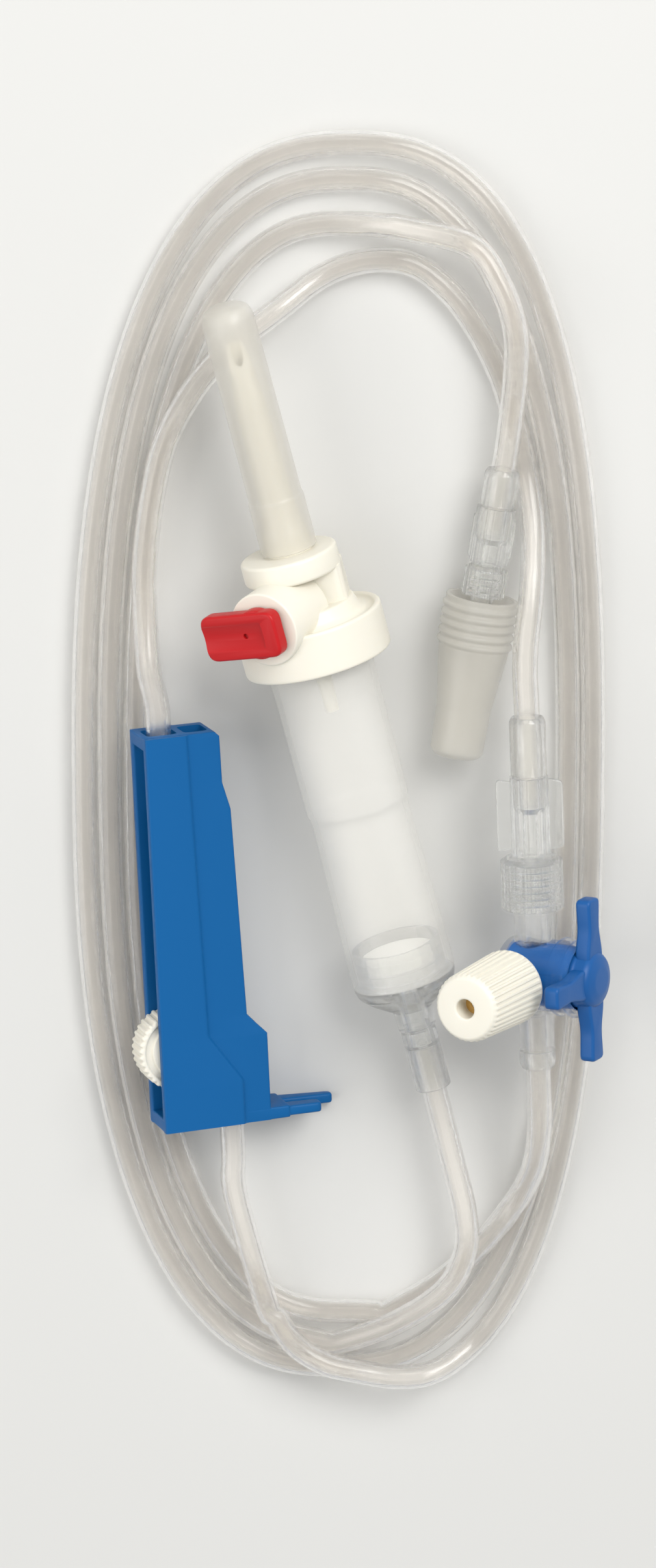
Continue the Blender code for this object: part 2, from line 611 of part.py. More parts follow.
def make_clamp_body():
    """One moulding: side walls with roller grooves, a ramped back, end walls and a forked foot flange."""
    half = CLAMP_T / 2 - BAND_H
    body = prism("clamp_body", clamp_outline(), -half, half, BLUE)
    band = [(0.0, 0.0), (BAND_FOOT_W, 0.0), (BAND_FOOT_W, BAND_FOOT_Y), (BAND_MID_W, BAND_MID_Y),
            (BAND_TOP_W, CLAMP_LENGTH), (0.0, CLAMP_LENGTH)]
    raised = prism("band_tool", band, -CLAMP_T / 2, CLAMP_T / 2)
    flange = box("flange_plate_tool", (0.0, 0.0, -FLANGE_HALF), (FLANGE_REACH, FLANGE_T, FLANGE_HALF))
    tools = [raised, flange]
    lift = (FLANGE_T - FORK_T) / 2
    for name, z0, z1, reach in (("upper_prong_tool", FORK_SLOT / 2, FLANGE_HALF, FORK_REACH),
                                ("lower_prong_tool", -FLANGE_HALF, -FORK_SLOT / 2, FORK_REACH - FORK_LAG)):
        tools.append(box(name, (FLANGE_REACH - OVERRUN, lift, z0), (reach, lift + FORK_T, z1)))
    join(body, *tools)
    exit_x = ramp_x(0) - TUBE_R - TUBE_SLACK
    half_way = TUBE_R + TUBE_SLACK
    top = (CLAMP_LENGTH - CLAMP_END_WALL - OVERRUN, CLAMP_LENGTH + OVERRUN)
    foot = (-OVERRUN, CLAMP_END_WALL + OVERRUN)
    ways = []
    for name, (x0, x1), (y0, y1) in (("tube_way_tool", TUBE_WAY_X, top), ("pocket_way_tool", POCKET_X, top),
                                     ("foot_way_tool", (exit_x - half_way, exit_x + half_way), foot)):
        ways.append(box(name, (x0, y0, -half_way), (x1, y1, half_way)))
    cut(body, clamp_channel(), roller_grooves(), *ways)
    return carry(body, "clamp_frame")


def make_clamp_roller():
    """Toothed wheel with a trunnion at each side."""
    face = CHANNEL_HALF - GAP
    end = CHANNEL_HALF + GROOVE_DEPTH - GAP

    def teeth(angle, radius, height):
        valley = int(angle / math.tau * ROLLER_TEETH * 2 + 0.01) % 2
        return -TOOTH_H if valley and radius > ROLLER_R * 0.9 else 0.0

    profile = [(0, -end), (TRUNNION_R, -end), (TRUNNION_R, -face), (ROLLER_R - 0.3 * MM, -face),
               (ROLLER_R, -face + 0.4 * MM), (ROLLER_R, face - 0.4 * MM), (ROLLER_R - 0.3 * MM, face),
               (TRUNNION_R, face), (TRUNNION_R, end), (0, end)]
    roller = turned("clamp_roller", profile, IVORY, sides=ROLLER_TEETH * 2, ridge=teeth)
    return carry(roller, "clamp_frame", (GROOVE_X, ROLLER_REST_Y, 0))


def clamp_tube_route():
    """Top way, down past the roller on the ramp side, out of the foot."""
    exit_x = ramp_x(0) - TUBE_R - TUBE_SLACK
    top_x = sum(TUBE_WAY_X) / 2
    past_x = ramp_x(ROLLER_REST_Y) - TUBE_R - GAP
    local = [(top_x, CLAMP_LENGTH + 2.5 * MM), (top_x + 0.2 * MM, CLAMP_LENGTH - 4 * MM),
             (top_x + 2.4 * MM, CLAMP_LENGTH - 16 * MM), (top_x + 5.0 * MM, CLAMP_LENGTH - 30 * MM),
             (past_x - 1.2 * MM, ROLLER_REST_Y + 12 * MM), (past_x, ROLLER_REST_Y + 3 * MM),
             (past_x, ROLLER_REST_Y - 5 * MM), (exit_x, 3 * MM), (exit_x, -2.5 * MM)]
    matrix = FRAMES["clamp_frame"].matrix_world
    return [matrix @ Vector((x, y, 0)) for x, y in local]


def clamp_frame_matrix():
    """Rolled about its length so that the open edge rests on the coil and the back's corner on the ground."""
    corners = ((CLAMP_FOOT_W, CLAMP_T / 2 - BAND_H), (BAND_FOOT_W, CLAMP_T / 2),
               (FORK_REACH - FORK_LAG, FLANGE_HALF))
    lift = max(reach * math.sin(CLAMP_ROLL) + half * math.cos(CLAMP_ROLL) for reach, half in corners)
    matrix = Matrix.Rotation(CLAMP_YAW, 4, "Z") @ Matrix.Rotation(CLAMP_ROLL, 4, "Y")
    matrix.translation = Vector((*CLAMP_AT, lift))
    return matrix


def make_stopcock_body():
    """Clear barrel with two ports in line, one across, and two lips at the handle end."""
    profile = [(PLUG_R + GAP, -BARREL_LEFT + 1.2 * MM), (0, -BARREL_LEFT + 1.2 * MM), (0, -BARREL_LEFT),
               (BARREL_R - 0.5 * MM, -BARREL_LEFT), (BARREL_R, -BARREL_LEFT + 0.5 * MM)]
    for start in LIP_AT:
        profile += [(BARREL_R, start), (BARREL_R + LIP_H, start + 0.2 * MM),
                    (BARREL_R + LIP_H, start + LIP_W - 0.2 * MM), (BARREL_R, start + LIP_W)]
    profile += [(BARREL_R, BARREL_RIGHT), (PLUG_R + GAP, BARREL_RIGHT)]
    body = turned("stopcock_body", profile, CLEAR, sides=28)
    body.data.transform(Matrix.Rotation(math.radians(90), 4, "Y"))
    wall_x = PLUG_R + 0.9 * MM
    line_port = turn_to(turned("line_port_tool", [
        (0, wall_x), (PORT_R, wall_x), (PORT_R, LINE_PORT_Y - 2 * MM),
        (LUER_LUG_R, LINE_PORT_Y - 1.6 * MM), (LUER_LUG_R, LINE_PORT_Y - 0.4 * MM),
        (PORT_R, LINE_PORT_Y), (0, LINE_PORT_Y)], sides=20), (0, 1, 0))
    side_port = turned("side_port_tool", [
        (0, wall_x), (PORT_R, wall_x), (PORT_R, SIDE_PORT_Z - 2 * MM),
        (LUER_LUG_R, SIDE_PORT_Z - 1.6 * MM), (LUER_LUG_R, SIDE_PORT_Z - 0.4 * MM),
        (PORT_R, SIDE_PORT_Z), (0, SIDE_PORT_Z)], sides=20)
    out_port = turn_to(turned("out_port_tool",
                              [(0, wall_x), (OUT_PORT_R, wall_x), (OUT_PORT_R, OUT_PORT_Y),
                               (0, OUT_PORT_Y)], sides=20), (0, -1, 0))
    join(body, line_port, side_port, out_port)
    bores = [turn_to(rod("line_bore_tool", PORT_BORE_R, PLUG_R + 0.05 * MM, LINE_PORT_Y + OVERRUN,
                         sides=14), (0, 1, 0)),
             rod("side_bore_tool", PORT_BORE_R, PLUG_R + 0.05 * MM, SIDE_PORT_Z + OVERRUN, sides=14),
             turn_to(rod("out_bore_tool", TUBE_R + GAP, OUT_PORT_Y - 6 * MM, OUT_PORT_Y + OVERRUN,
                         sides=14), (0, -1, 0)),
             turn_to(rod("out_way_tool", 1.3 * MM, PLUG_R + 0.05 * MM, OUT_PORT_Y - 5 * MM, sides=10),
                     (0, -1, 0))]
    cut(body, *bores)
    return carry(body, "stopcock_frame")


def make_extension_socket():
    """Short sleeve behind the outlet port, round the extension tube."""
    low = OUT_PORT_Y + GAP
    high = low + OUT_SOCKET_LENGTH
    bore = TUBE_R + GAP
    profile = [(bore, low), (SOCKET_R, low), (SOCKET_R, high), (bore, high)]
    carry(turned("extension_socket", profile, CLEAR, sides=24), "stopcock_frame", direction=(0, -1, 0))


def arm_outline(angle):
    """One waisted arm from the hub, in the handle's plane."""
    root, tip = ARM_W / 2, ARM_TIP_W / 2
    points = [(0, -root), (HANDLE_HUB_R, -root), (ARM_LENGTH * 0.62, -tip * 0.82),
              (ARM_LENGTH - 1.0 * MM, -tip), (ARM_LENGTH, -tip + 0.8 * MM)]
    points += [(x, -y) for x, y in reversed(points)]
    turn = Matrix.Rotation(math.radians(angle), 2)
    return [tuple(turn @ Vector(point)) for point in points]


def make_stopcock_handle():
    """Three arm handle with a domed hub, one moulding with the plug inside the barrel."""
    plug_low = -BARREL_LEFT + 1.2 * MM + GAP
    hub = [(0, plug_low), (PLUG_R, plug_low), (PLUG_R, HANDLE_X + 0.2 * MM),
           (HANDLE_HUB_R, HANDLE_X + 0.2 * MM), (HANDLE_HUB_R, HANDLE_X + HANDLE_T),
           (HANDLE_HUB_R * 0.86, HANDLE_X + HANDLE_HUB_H * 0.85),
           (HANDLE_HUB_R * 0.5, HANDLE_X + HANDLE_HUB_H), (0, HANDLE_X + HANDLE_HUB_H)]
    handle = turned("stopcock_handle", hub, BLUE, sides=32)
    for number, angle in enumerate((90, 180, 270)):
        join(handle, prism(f"arm_tool_{number}", arm_outline(angle), HANDLE_X, HANDLE_X + HANDLE_T))
    bore_r = 1.3 * MM
    across = turn_to(rod("plug_way_tool", bore_r, -BARREL_R, BARREL_R, sides=12), (0, 1, 0))
    side = turn_to(rod("plug_side_tool", bore_r, 0, BARREL_R, sides=12), (-1, 0, 0))
    cut(handle, across, side)
    turn = Matrix.Rotation(math.radians(90), 4, "Y")
    handle.parent = FRAMES["stopcock_frame"]
    handle.matrix_parent_inverse = Matrix.Identity(4)
    handle.matrix_basis = turn
    return handle


def make_luer_cap():
    """Ribbed vented cap on the side port."""
    low = LUER_CAP_SEAT
    high = low + LUER_CAP_LENGTH
    inner = LUER_LUG_R + GAP
    sides = LUER_CAP_RIBS * 2

    def ribs(angle, radius, height):
        outer = radius > LUER_CAP_TIP_R - 0.7 * MM and low + 0.7 * MM < height < high - 0.6 * MM
        return -RIB_H if outer and int(angle / math.tau * sides + 0.01) % 2 else 0.0

    post = PORT_BORE_R - GAP
    profile = [(inner, low), (LUER_CAP_R - RIB_H, low), (LUER_CAP_R, low + 0.8 * MM),
               (LUER_CAP_TIP_R, high - 0.9 * MM), (LUER_CAP_TIP_R - RIB_H - 0.3 * MM, high),
               (LUER_CAP_HOLE_R, high), (LUER_CAP_HOLE_R, high - 3.4 * MM), (0.6 * MM, high - 3.4 * MM),
               (0.6 * MM, SIDE_PORT_Z - 4 * MM), (post, SIDE_PORT_Z - 4 * MM),
               (post, SIDE_PORT_Z + GAP), (inner, SIDE_PORT_Z + GAP)]
    return carry(turned("luer_cap", profile, IVORY, sides=sides, ridge=ribs), "stopcock_frame")


def make_connector(name, frame, shoulder, stem, wing_length, wing_reach, cone):
    """Male luer: cone, shoulder, ribbed stem and two flat wings; z runs from the cone to the tube."""
    def ribs(angle, radius, height):
        on_rib = int(angle / math.tau * STEM_SIDES + 0.01) % 4 < 1
        return RIB_H if on_rib and radius > STEM_R * 0.95 else 0.0

    bore = TUBE_R + GAP
    profile = [(1.2 * MM, shoulder - cone), (CONE_R - 0.25 * MM, shoulder - cone), (CONE_R, shoulder),
               (STEM_R, shoulder), (STEM_R, shoulder + stem),
               (bore, shoulder + stem), (bore, shoulder + stem - 5 * MM),
               (1.2 * MM, shoulder + stem - 6 * MM)]
    body = turned(name, profile, CLEAR, sides=STEM_SIDES, ridge=ribs)
    for side in (-1, 1):
        inner, outer = STEM_R - 0.5 * MM, wing_reach
        x0, x1 = sorted((side * inner, side * outer))
        wing = prism(f"{name}_wing_tool_{side}",
                     [(x0, -WING_T / 2), (x1, -WING_T / 2), (x1, WING_T / 2), (x0, WING_T / 2)],
                     shoulder + 0.6 * MM, shoulder + 0.6 * MM + wing_length)
        ease = wing.modifiers.new("rounded corners", "BEVEL")
        ease.width = 0.35 * MM
        ease.segments = 2
        join(body, wing)
    return carry(body, frame)


def make_nut(name, frame, low, radius, length, hole, thread=None):
    """Lock nut: an open sleeve round the cone with an inner flange at the tube end."""
    def grips(angle, r, height):
        return -0.3 * MM if r > radius - 0.1 * MM and int(angle / math.tau * NUT_SIDES + 0.01) % 2 else 0.0

    high = low + length
    profile = [(radius - NUT_WALL, low), (radius, low), (radius, high - 0.6 * MM),
               (radius - 0.9 * MM, high), (hole, high), (hole, high - NUT_FLOOR),
               (radius - NUT_WALL, high - NUT_FLOOR)]
    return carry(turned(name, profile, CLEAR, sides=NUT_SIDES, ridge=grips), frame)


def make_sleeve(name, frame, low, length, radius):
    """Tapered tube sleeve behind a stem."""
    bore = TUBE_R + GAP
    profile = [(bore, low), (radius, low), (radius, low + length - 0.8 * MM),
               (radius - 0.4 * MM, low + length), (bore, low + length)]
    return carry(turned(name, profile, CLEAR, sides=24), frame)


def line_connector_frame():
    """z runs from the stopcock's line port up the line."""
    base = FRAMES["stopcock_frame"].matrix_world
    along = Matrix.Translation(Vector((0, LINE_PORT_Y, 0))) @ Matrix.Rotation(math.radians(-90), 4, "X")
    return base @ along @ Matrix.Rotation(STOPCOCK_ROLL, 4, "Z")


def patient_frame():
    """z runs from the end cap's tip towards the tube; the wings lie flat."""
    up = max(END_CAP_MOUTH_R, PATIENT_NUT_R + 0.3 * MM)
    axis = Vector((math.sin(PATIENT_LEAN), math.cos(PATIENT_LEAN), 0))
    across = Vector((math.cos(PATIENT_LEAN), -math.sin(PATIENT_LEAN), 0))
    matrix = Matrix((across, axis.cross(across), axis)).transposed().to_4x4()
    matrix.translation = Vector((*PATIENT_AT, up)) - axis * 9.9 * MM
    return matrix


def make_end_cap():
    """Tapered sheath with grip rings over the patient connector."""
    mouth = END_CAP_LENGTH
    ring = 1.1 * MM
    profile = [(0, 0), (END_CAP_TIP_R - 0.8 * MM, 0), (END_CAP_TIP_R, 0.8 * MM),
               (END_CAP_TIP_R + 0.15 * MM, mouth * 0.3), (END_CAP_MOUTH_R - 0.4 * MM, mouth * 0.68)]
    for number in range(END_CAP_RINGS):
        z = mouth * 0.7 + number * ring * 1.25
        profile += [(END_CAP_MOUTH_R - 0.4 * MM, z), (END_CAP_MOUTH_R, z + 0.6 * MM)]
    profile += [(END_CAP_MOUTH_R - 0.3 * MM, mouth), (END_CAP_MOUTH_R - END_CAP_WALL - 0.3 * MM, mouth),
                (END_CAP_MOUTH_R - END_CAP_WALL - 0.4 * MM, mouth * 0.68),
                (END_CAP_TIP_R - END_CAP_WALL, mouth * 0.3), (END_CAP_TIP_R - END_CAP_WALL, END_CAP_WALL),
                (0, END_CAP_WALL)]
    return carry(turned("patient_cap", profile, MILKY, sides=24), "patient_frame")


def oval(t, half, middle, bow=COIL_BOW, power=COIL_POWER):
    """Superellipse whose sides bow to the right away from the middle."""
    c, s = math.cos(t), math.sin(t)
    x = middle[0] + half[0] * math.copysign(abs(c) ** (2 / power), c) + bow * s * s
    y = middle[1] + half[1] * math.copysign(abs(s) ** (2 / power), s)
    return Vector((x, y, 0))


def bundle_width(t):
    """Centre to centre width of the strands at an angle."""
    c, s = math.cos(t), math.sin(t)
    side = BUNDLE_RIGHT if c > 0 else BUNDLE_LEFT
    end = BUNDLE_TOP if s > 0 else BUNDLE_FOOT
    share = s**4
    return side * (1 - share) + end * share


def make_coil():
    """The outer shape of the coiled strands: an oval ring with eased edges."""
    vertices, faces = [], []
    ease = COIL_H * 0.28
    for station in range(COIL_STATIONS):
        t = math.tau * station / COIL_STATIONS
        outer = oval(t, COIL_HALF, COIL_MIDDLE)
        step = oval(t + 0.01, COIL_HALF, COIL_MIDDLE) - oval(t - 0.01, COIL_HALF, COIL_MIDDLE)
        inward = Vector((-step.y, step.x, 0)).normalized()
        near, far = -TUBE_R, bundle_width(t) + TUBE_R
        for across, height in ((near + ease, 0), (near, ease), (near, COIL_H - ease), (near + ease, COIL_H),
                               (far - ease, COIL_H), (far, COIL_H - ease), (far, ease), (far - ease, 0)):
            place = outer + inward * across
            vertices.append((place.x, place.y, height))
    for station in range(COIL_STATIONS):
        after = (station + 1) % COIL_STATIONS
        for side in range(8):
            next_side = (side + 1) % 8
            faces.append((station * 8 + side, station * 8 + next_side, after * 8 + next_side,
                          after * 8 + side))
    return object_of("tube_coil", vertices, faces, VINYL)


clear_scene()
frame_at("chamber_frame", chamber_frame())
make_spike_body()
make_spike_cap()
frame_at("vent_frame", vent_frame())
carry(make_vent_cap(), "vent_frame")
vent_filter = rod("vent_filter", VENT_R - GAP, -VENT_DEPTH + GAP, -VENT_DEPTH + GAP + VENT_FILTER_H, PAPER)
carry(vent_filter, "vent_frame")
tail_start, tail_after = make_chamber()
tube("chamber_tail", [tail_start, tail_after] + in_metres(CHAMBER_TAIL))

frame_at("clamp_frame", clamp_frame_matrix())
make_clamp_body()
make_clamp_roller()
inside = clamp_tube_route()
tube("clamp_tube", inside, spacing=1.6 * TUBE_OD)
heading_down = (inside[-1] - inside[-2]).normalized()
heading_up = (inside[0] - inside[1]).normalized()
straight = [inside[-1] + heading_down * run for run in (12 * MM, 6 * MM, GAP)]
tube("clamp_tail", in_metres(CLAMP_TAIL) + straight)

stopcock_turn = Matrix.Rotation(STOPCOCK_YAW, 4, "Z") @ Matrix.Rotation(-STOPCOCK_ROLL, 4, "Y")
frame_at("stopcock_frame", Matrix.Translation(Vector(STOPCOCK_AT)) @ stopcock_turn)
make_stopcock_body()
make_stopcock_handle()
make_luer_cap()
stopcock = FRAMES["stopcock_frame"].matrix_world
make_extension_socket()

frame_at("line_frame", line_connector_frame())
make_connector("line_connector", "line_frame", LINE_SHOULDER, STEM_LENGTH, WING_LENGTH, WING_REACH,
               CONE_LENGTH)
make_nut("line_lock_nut", "line_frame", LINE_SHOULDER - NUT_BEHIND - NUT_LENGTH, NUT_R, NUT_LENGTH,
         CONE_R + NUT_CLEARANCE)
stem_end = LINE_SHOULDER + STEM_LENGTH
make_sleeve("line_sleeve", "line_frame", stem_end + GAP, SLEEVE_LENGTH, STEM_R)
line = FRAMES["line_frame"].matrix_world
line_end = [line @ Vector((0, 0, stem_end + run))
            for run in (SLEEVE_LENGTH + 10 * MM, SLEEVE_LENGTH, -TUBE_SEAT)]
straight = [inside[0] + heading_up * run for run in (GAP, 5 * MM, 11 * MM)]
tube("line_tail", straight + in_metres(LINE_TAIL) + line_end)

exit_start = stopcock @ Vector((0, -OUT_PORT_Y + 5.6 * MM, 0))
exit_after = stopcock @ Vector((0, -OUT_PORT_Y - 8 * MM, 0))
tube("extension_head", [exit_start, exit_after] + in_metres(EXTENSION_HEAD))

frame_at("patient_frame", patient_frame())
make_end_cap()
nut_low = END_CAP_LENGTH + GAP
patient_shoulder = nut_low + PATIENT_NUT_LENGTH + GAP
make_connector("patient_connector", "patient_frame", patient_shoulder, PATIENT_STEM_LENGTH,
               PATIENT_WING_LENGTH, PATIENT_WING_REACH, PATIENT_CONE_LENGTH + PATIENT_NUT_LENGTH)
make_nut("patient_lock_nut", "patient_frame", nut_low, PATIENT_NUT_R, PATIENT_NUT_LENGTH,
         CONE_R + PATIENT_NUT_CLEARANCE)
sleeve_low = patient_shoulder + PATIENT_STEM_LENGTH + GAP
make_sleeve("patient_sleeve", "patient_frame", sleeve_low, PATIENT_SLEEVE_LENGTH, PATIENT_SLEEVE_R)
patient = FRAMES["patient_frame"].matrix_world
patient_end = [patient @ Vector((0, 0, sleeve_low + run))
               for run in (PATIENT_SLEEVE_LENGTH + 4 * MM, PATIENT_SLEEVE_LENGTH, -TUBE_SEAT)]
tube("extension_tail", in_metres(EXTENSION_TAIL) + patient_end)

make_coil()
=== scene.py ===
# %% [markdown]
# # A vented drip infusion set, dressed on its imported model
# The set carries fluid from a hung bag to a patient: a spike and drip chamber, a long soft tube lying in a
# coil, a roller clamp, a three way stopcock and a capped connector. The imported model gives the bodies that
# move, and each piece is drawn again on it with the finer forms that its solids leave out. The tubes are
# laid first, and then each moulded piece is made as a surface worked out with numpy. Lengths are in
# millimetres here and become metres in the meshes, with +Z up from the table.

# %% Load the frame
import math
import bmesh
import bpy
import numpy as np
from mathutils import Matrix, Vector


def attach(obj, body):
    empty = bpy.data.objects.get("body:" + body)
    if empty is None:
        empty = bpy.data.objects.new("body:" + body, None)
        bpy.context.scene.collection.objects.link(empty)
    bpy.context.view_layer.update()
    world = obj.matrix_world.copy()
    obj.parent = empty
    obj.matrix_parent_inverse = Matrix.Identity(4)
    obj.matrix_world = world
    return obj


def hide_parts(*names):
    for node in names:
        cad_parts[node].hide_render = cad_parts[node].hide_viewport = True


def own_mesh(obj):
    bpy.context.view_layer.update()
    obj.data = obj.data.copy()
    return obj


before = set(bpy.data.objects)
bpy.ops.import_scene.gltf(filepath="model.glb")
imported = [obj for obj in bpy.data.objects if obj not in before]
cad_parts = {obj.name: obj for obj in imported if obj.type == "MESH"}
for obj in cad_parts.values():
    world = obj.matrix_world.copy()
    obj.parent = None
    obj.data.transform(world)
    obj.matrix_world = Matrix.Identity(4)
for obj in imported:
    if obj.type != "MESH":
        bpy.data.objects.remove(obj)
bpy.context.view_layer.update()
MM = 0.001

# %% [markdown]
# The set lies on a table and is looked at from above. A camera straight overhead would be simpler, but the
# picture shows a little of each piece's flank, so the camera stands 13 degrees off the vertical, on the
# spike's side. It stands far off with a long lens, which keeps the sides of the coil parallel.

# %% Camera
TILT = math.radians(13)
TARGET = Vector((-6.34, -14.9, 0.0)) * MM
DISTANCE = 0.95
VIEW_HEIGHT = 256.6 * MM
SENSOR = 36.0
eye = TARGET + Vector((0.0, math.sin(TILT), math.cos(TILT))) * DISTANCE
camera_data = bpy.data.cameras.new("camera")
camera_data.sensor_fit = "VERTICAL"
camera_data.sensor_height = SENSOR
camera_data.sensor_width = SENSOR
camera_data.lens = SENSOR * DISTANCE / VIEW_HEIGHT
camera = bpy.data.objects.new("camera", camera_data)
bpy.context.scene.collection.objects.link(camera)
camera.location = eye
camera.rotation_euler = (-TILT, 0.0, 0.0)
bpy.context.scene.camera = camera
print("camera at", [round(v, 3) for v in eye])

# %% [markdown]
# Moulded plastic is never quite even: its shine changes a little from spot to spot. A painted map could
# hold that, but every piece would have to be unwrapped for it. Noise read at Object coordinates needs no
# unwrapping and stays on its piece when the piece moves. All the finishes use it, so it is a node group,
# built once.

# %% Mottling


def mottling_group():
    """Node group: Value is noise at the Object coordinates, with its grain set by Scale."""
    group = bpy.data.node_groups.new("fine mottling", "ShaderNodeTree")
    group.interface.new_socket("Scale", in_out="INPUT", socket_type="NodeSocketFloat")
    group.interface.new_socket("Value", in_out="OUTPUT", socket_type="NodeSocketFloat")
    source = group.nodes.new("NodeGroupInput")
    result = group.nodes.new("NodeGroupOutput")
    where = group.nodes.new("ShaderNodeTexCoord")
    noise = group.nodes.new("ShaderNodeTexNoise")
    noise.inputs["Detail"].default_value = 3.0
    group.links.new(where.outputs["Object"], noise.inputs["Vector"])
    group.links.new(source.outputs["Scale"], noise.inputs["Scale"])
    group.links.new(noise.outputs["Fac"], result.inputs["Value"])
    return group


MOTTLE = mottling_group()
print("node group", MOTTLE.name)

# %% [markdown]
# The set is nearly all moulded or drawn plastic, so one function makes every finish. A clear piece could be
# plain glass, but a closed clear wall lets no lamp light in, and what lies behind it turns dark and grainy.
# A share of alpha beside the transmission lets the light through and keeps the look of a clear wall. The
# two filters are felt, which is the same shader with a rough face.

# %% Plastics
RELIEF_DEPTH = 0.0002
SCATTER_DEPTHS = (0.002, 0.0016, 0.0012)


def plastic(name, color, roughness=0.35, transmission=0.0, mottling=0.12, scale=900.0, bump=0.05,
            ior=1.46, subsurface=0.0, alpha=1.0, gloss=0.5):
    """Roughness times 1 - mottling to 1 + mottling, by the noise, which also gives a faint relief."""
    material = bpy.data.materials.new(name)
    material.use_nodes = True
    nodes, links = material.node_tree.nodes, material.node_tree.links
    shader = nodes["Principled BSDF"]
    shader.inputs["Base Color"].default_value = (*color, 1.0)
    shader.inputs["IOR"].default_value = ior
    shader.inputs["Transmission Weight"].default_value = transmission
    shader.inputs["Alpha"].default_value = alpha
    shader.inputs["Specular IOR Level"].default_value = gloss
    shader.inputs["Subsurface Weight"].default_value = subsurface
    shader.inputs["Subsurface Radius"].default_value = SCATTER_DEPTHS
    mottle = nodes.new("ShaderNodeGroup")
    mottle.node_tree = MOTTLE
    mottle.inputs["Scale"].default_value = scale
    spread = nodes.new("ShaderNodeMapRange")
    spread.inputs["To Min"].default_value = roughness * (1.0 - mottling)
    spread.inputs["To Max"].default_value = roughness * (1.0 + mottling)
    links.new(mottle.outputs["Value"], spread.inputs["Value"])
    links.new(spread.outputs["Result"], shader.inputs["Roughness"])
    relief = nodes.new("ShaderNodeBump")
    relief.inputs["Strength"].default_value = bump
    relief.inputs["Distance"].default_value = RELIEF_DEPTH
    links.new(mottle.outputs["Value"], relief.inputs["Height"])
    links.new(relief.outputs["Normal"], shader.inputs["Normal"])
    return material


print("relief", RELIEF_DEPTH / MM, "mm deep")

# %% [markdown]
# The set's own finishes: ivory for the housing, the roller and the vented cap, a milky sheath and end cap,
# clear connectors, soft vinyl for the chamber and the tube, blue for the clamp and the tap, and red for the
# vent's cap. They could be measured from a sample of each plastic, but there is none, so the colours are
# set against the picture, under the lamps that stand at the end of this file.

# %% The set's finishes
IVORY = plastic("ivory moulding", (0.75, 0.715, 0.615), 0.4, subsurface=0.2)
MILKY = plastic("milky sheath", (0.76, 0.73, 0.655), 0.3, transmission=0.4, bump=0.02, alpha=0.38)
CLEAR = plastic("clear moulding", (0.98, 0.98, 0.96), 0.08, transmission=0.95, bump=0.0, ior=1.5,
                alpha=0.7)
BARREL = plastic("clear barrel", (0.98, 0.98, 0.97), 0.06, transmission=0.97, bump=0.0, ior=1.5,
                 alpha=0.42)
# Lighter than the tap's own blue: painted light, making up for the shade that the clear barrel casts on the
# plug.
PLUG_BLUE_PAINTED_LIGHT = plastic("plug blue", (0.006, 0.13, 0.44), 0.35, gloss=0.3, bump=0.0)
VINYL = plastic("soft chamber", (0.90, 0.88, 0.82), 0.35, bump=0.02, alpha=0.26)
TUBE = plastic("soft tube", (0.985, 0.95, 0.90), 0.12, transmission=0.9, bump=0.0, alpha=0.52)
BLUE = plastic("clamp blue", (0.003, 0.095, 0.28), 0.45, gloss=0.2)
TAP = plastic("tap blue", (0.008, 0.085, 0.28), 0.38, gloss=0.3)
RED = plastic("red plug", (0.45, 0.008, 0.010), 0.36, gloss=0.3)
AMBER = plastic("amber vent", (0.62, 0.36, 0.08), 0.5)
FILTER = plastic("filter felt", (0.86, 0.85, 0.8), 0.9, mottling=0.05, bump=0.4)
print("materials", len(bpy.data.materials))

# %% [markdown]
# The pieces lie askew on the table. They could be drawn where they lie, but it is easier to draw each one
# on its own axis and to lay it down with a matrix. The matrix goes into the mesh's points, because a
# finished piece's object stays at the origin, unturned.

# %% Where each piece lies


def lying(origin, x, y, z):
    """Matrix whose columns are the three axes, at an origin in millimetres."""
    matrix = Matrix((x, y, z)).transposed().to_4x4()
    matrix.translation = Vector(origin) * MM
    return matrix


CHAMBER = lying((-7.82, 8.54, 12.026), (-.9681, -.2504, 0), (.0158, -.0611, .998),
                (-.2499, .9662, .0631))
VENT = lying((-16.514, 15.492, 23.296), (.8294, .18, .5289), (-.2499, .9662, .0631),
             (-.4996, -.1845, .8464))
CLAMP = lying((-34.13, -70.06, 11.33), (.9501, .0431, -.309), (-.0454, .999, 0), (.3087, .014, .9511))
STOPCOCK = lying((27.33, -43.66, 12.4), (.8654, .0332, .5), (-.0384, .9993, 0), (-.4996, -.0192, .866))
LINE_END = lying((26.624, -25.274, 12.4), (.9993, .0384, 0), (0, 0, -1), (-.0384, .9993, 0))
PATIENT_END = lying((14.381, -8.638, 6.2), (.9877, -.1564, 0), (0, 0, -1), (.1564, .9877, 0))
for place in (CHAMBER, CLAMP, STOPCOCK, PATIENT_END):
    print("lies at", [round(v / MM, 1) for v in place.translation])

# %% [markdown]
# The tube was wound flat, so its strands lie side by side in an oval with fuller corners than an ellipse.
# Points placed by hand on each strand would give wavy turns. A superellipse gives every turn the same flow.
# The bundle is wide at the two ends of the coil, where the strands spread, and narrow along its sides.

# %% The oval of the coil
COIL_MIDDLE = (-4.67, -14.0)
COIL_HALF = (41.5, 104.4)
COIL_POWER = 2.5
COIL_BOW = 2.0
BUNDLE = {"left": 8.4, "right": 4.3, "top": 12.8, "foot": 13.8}


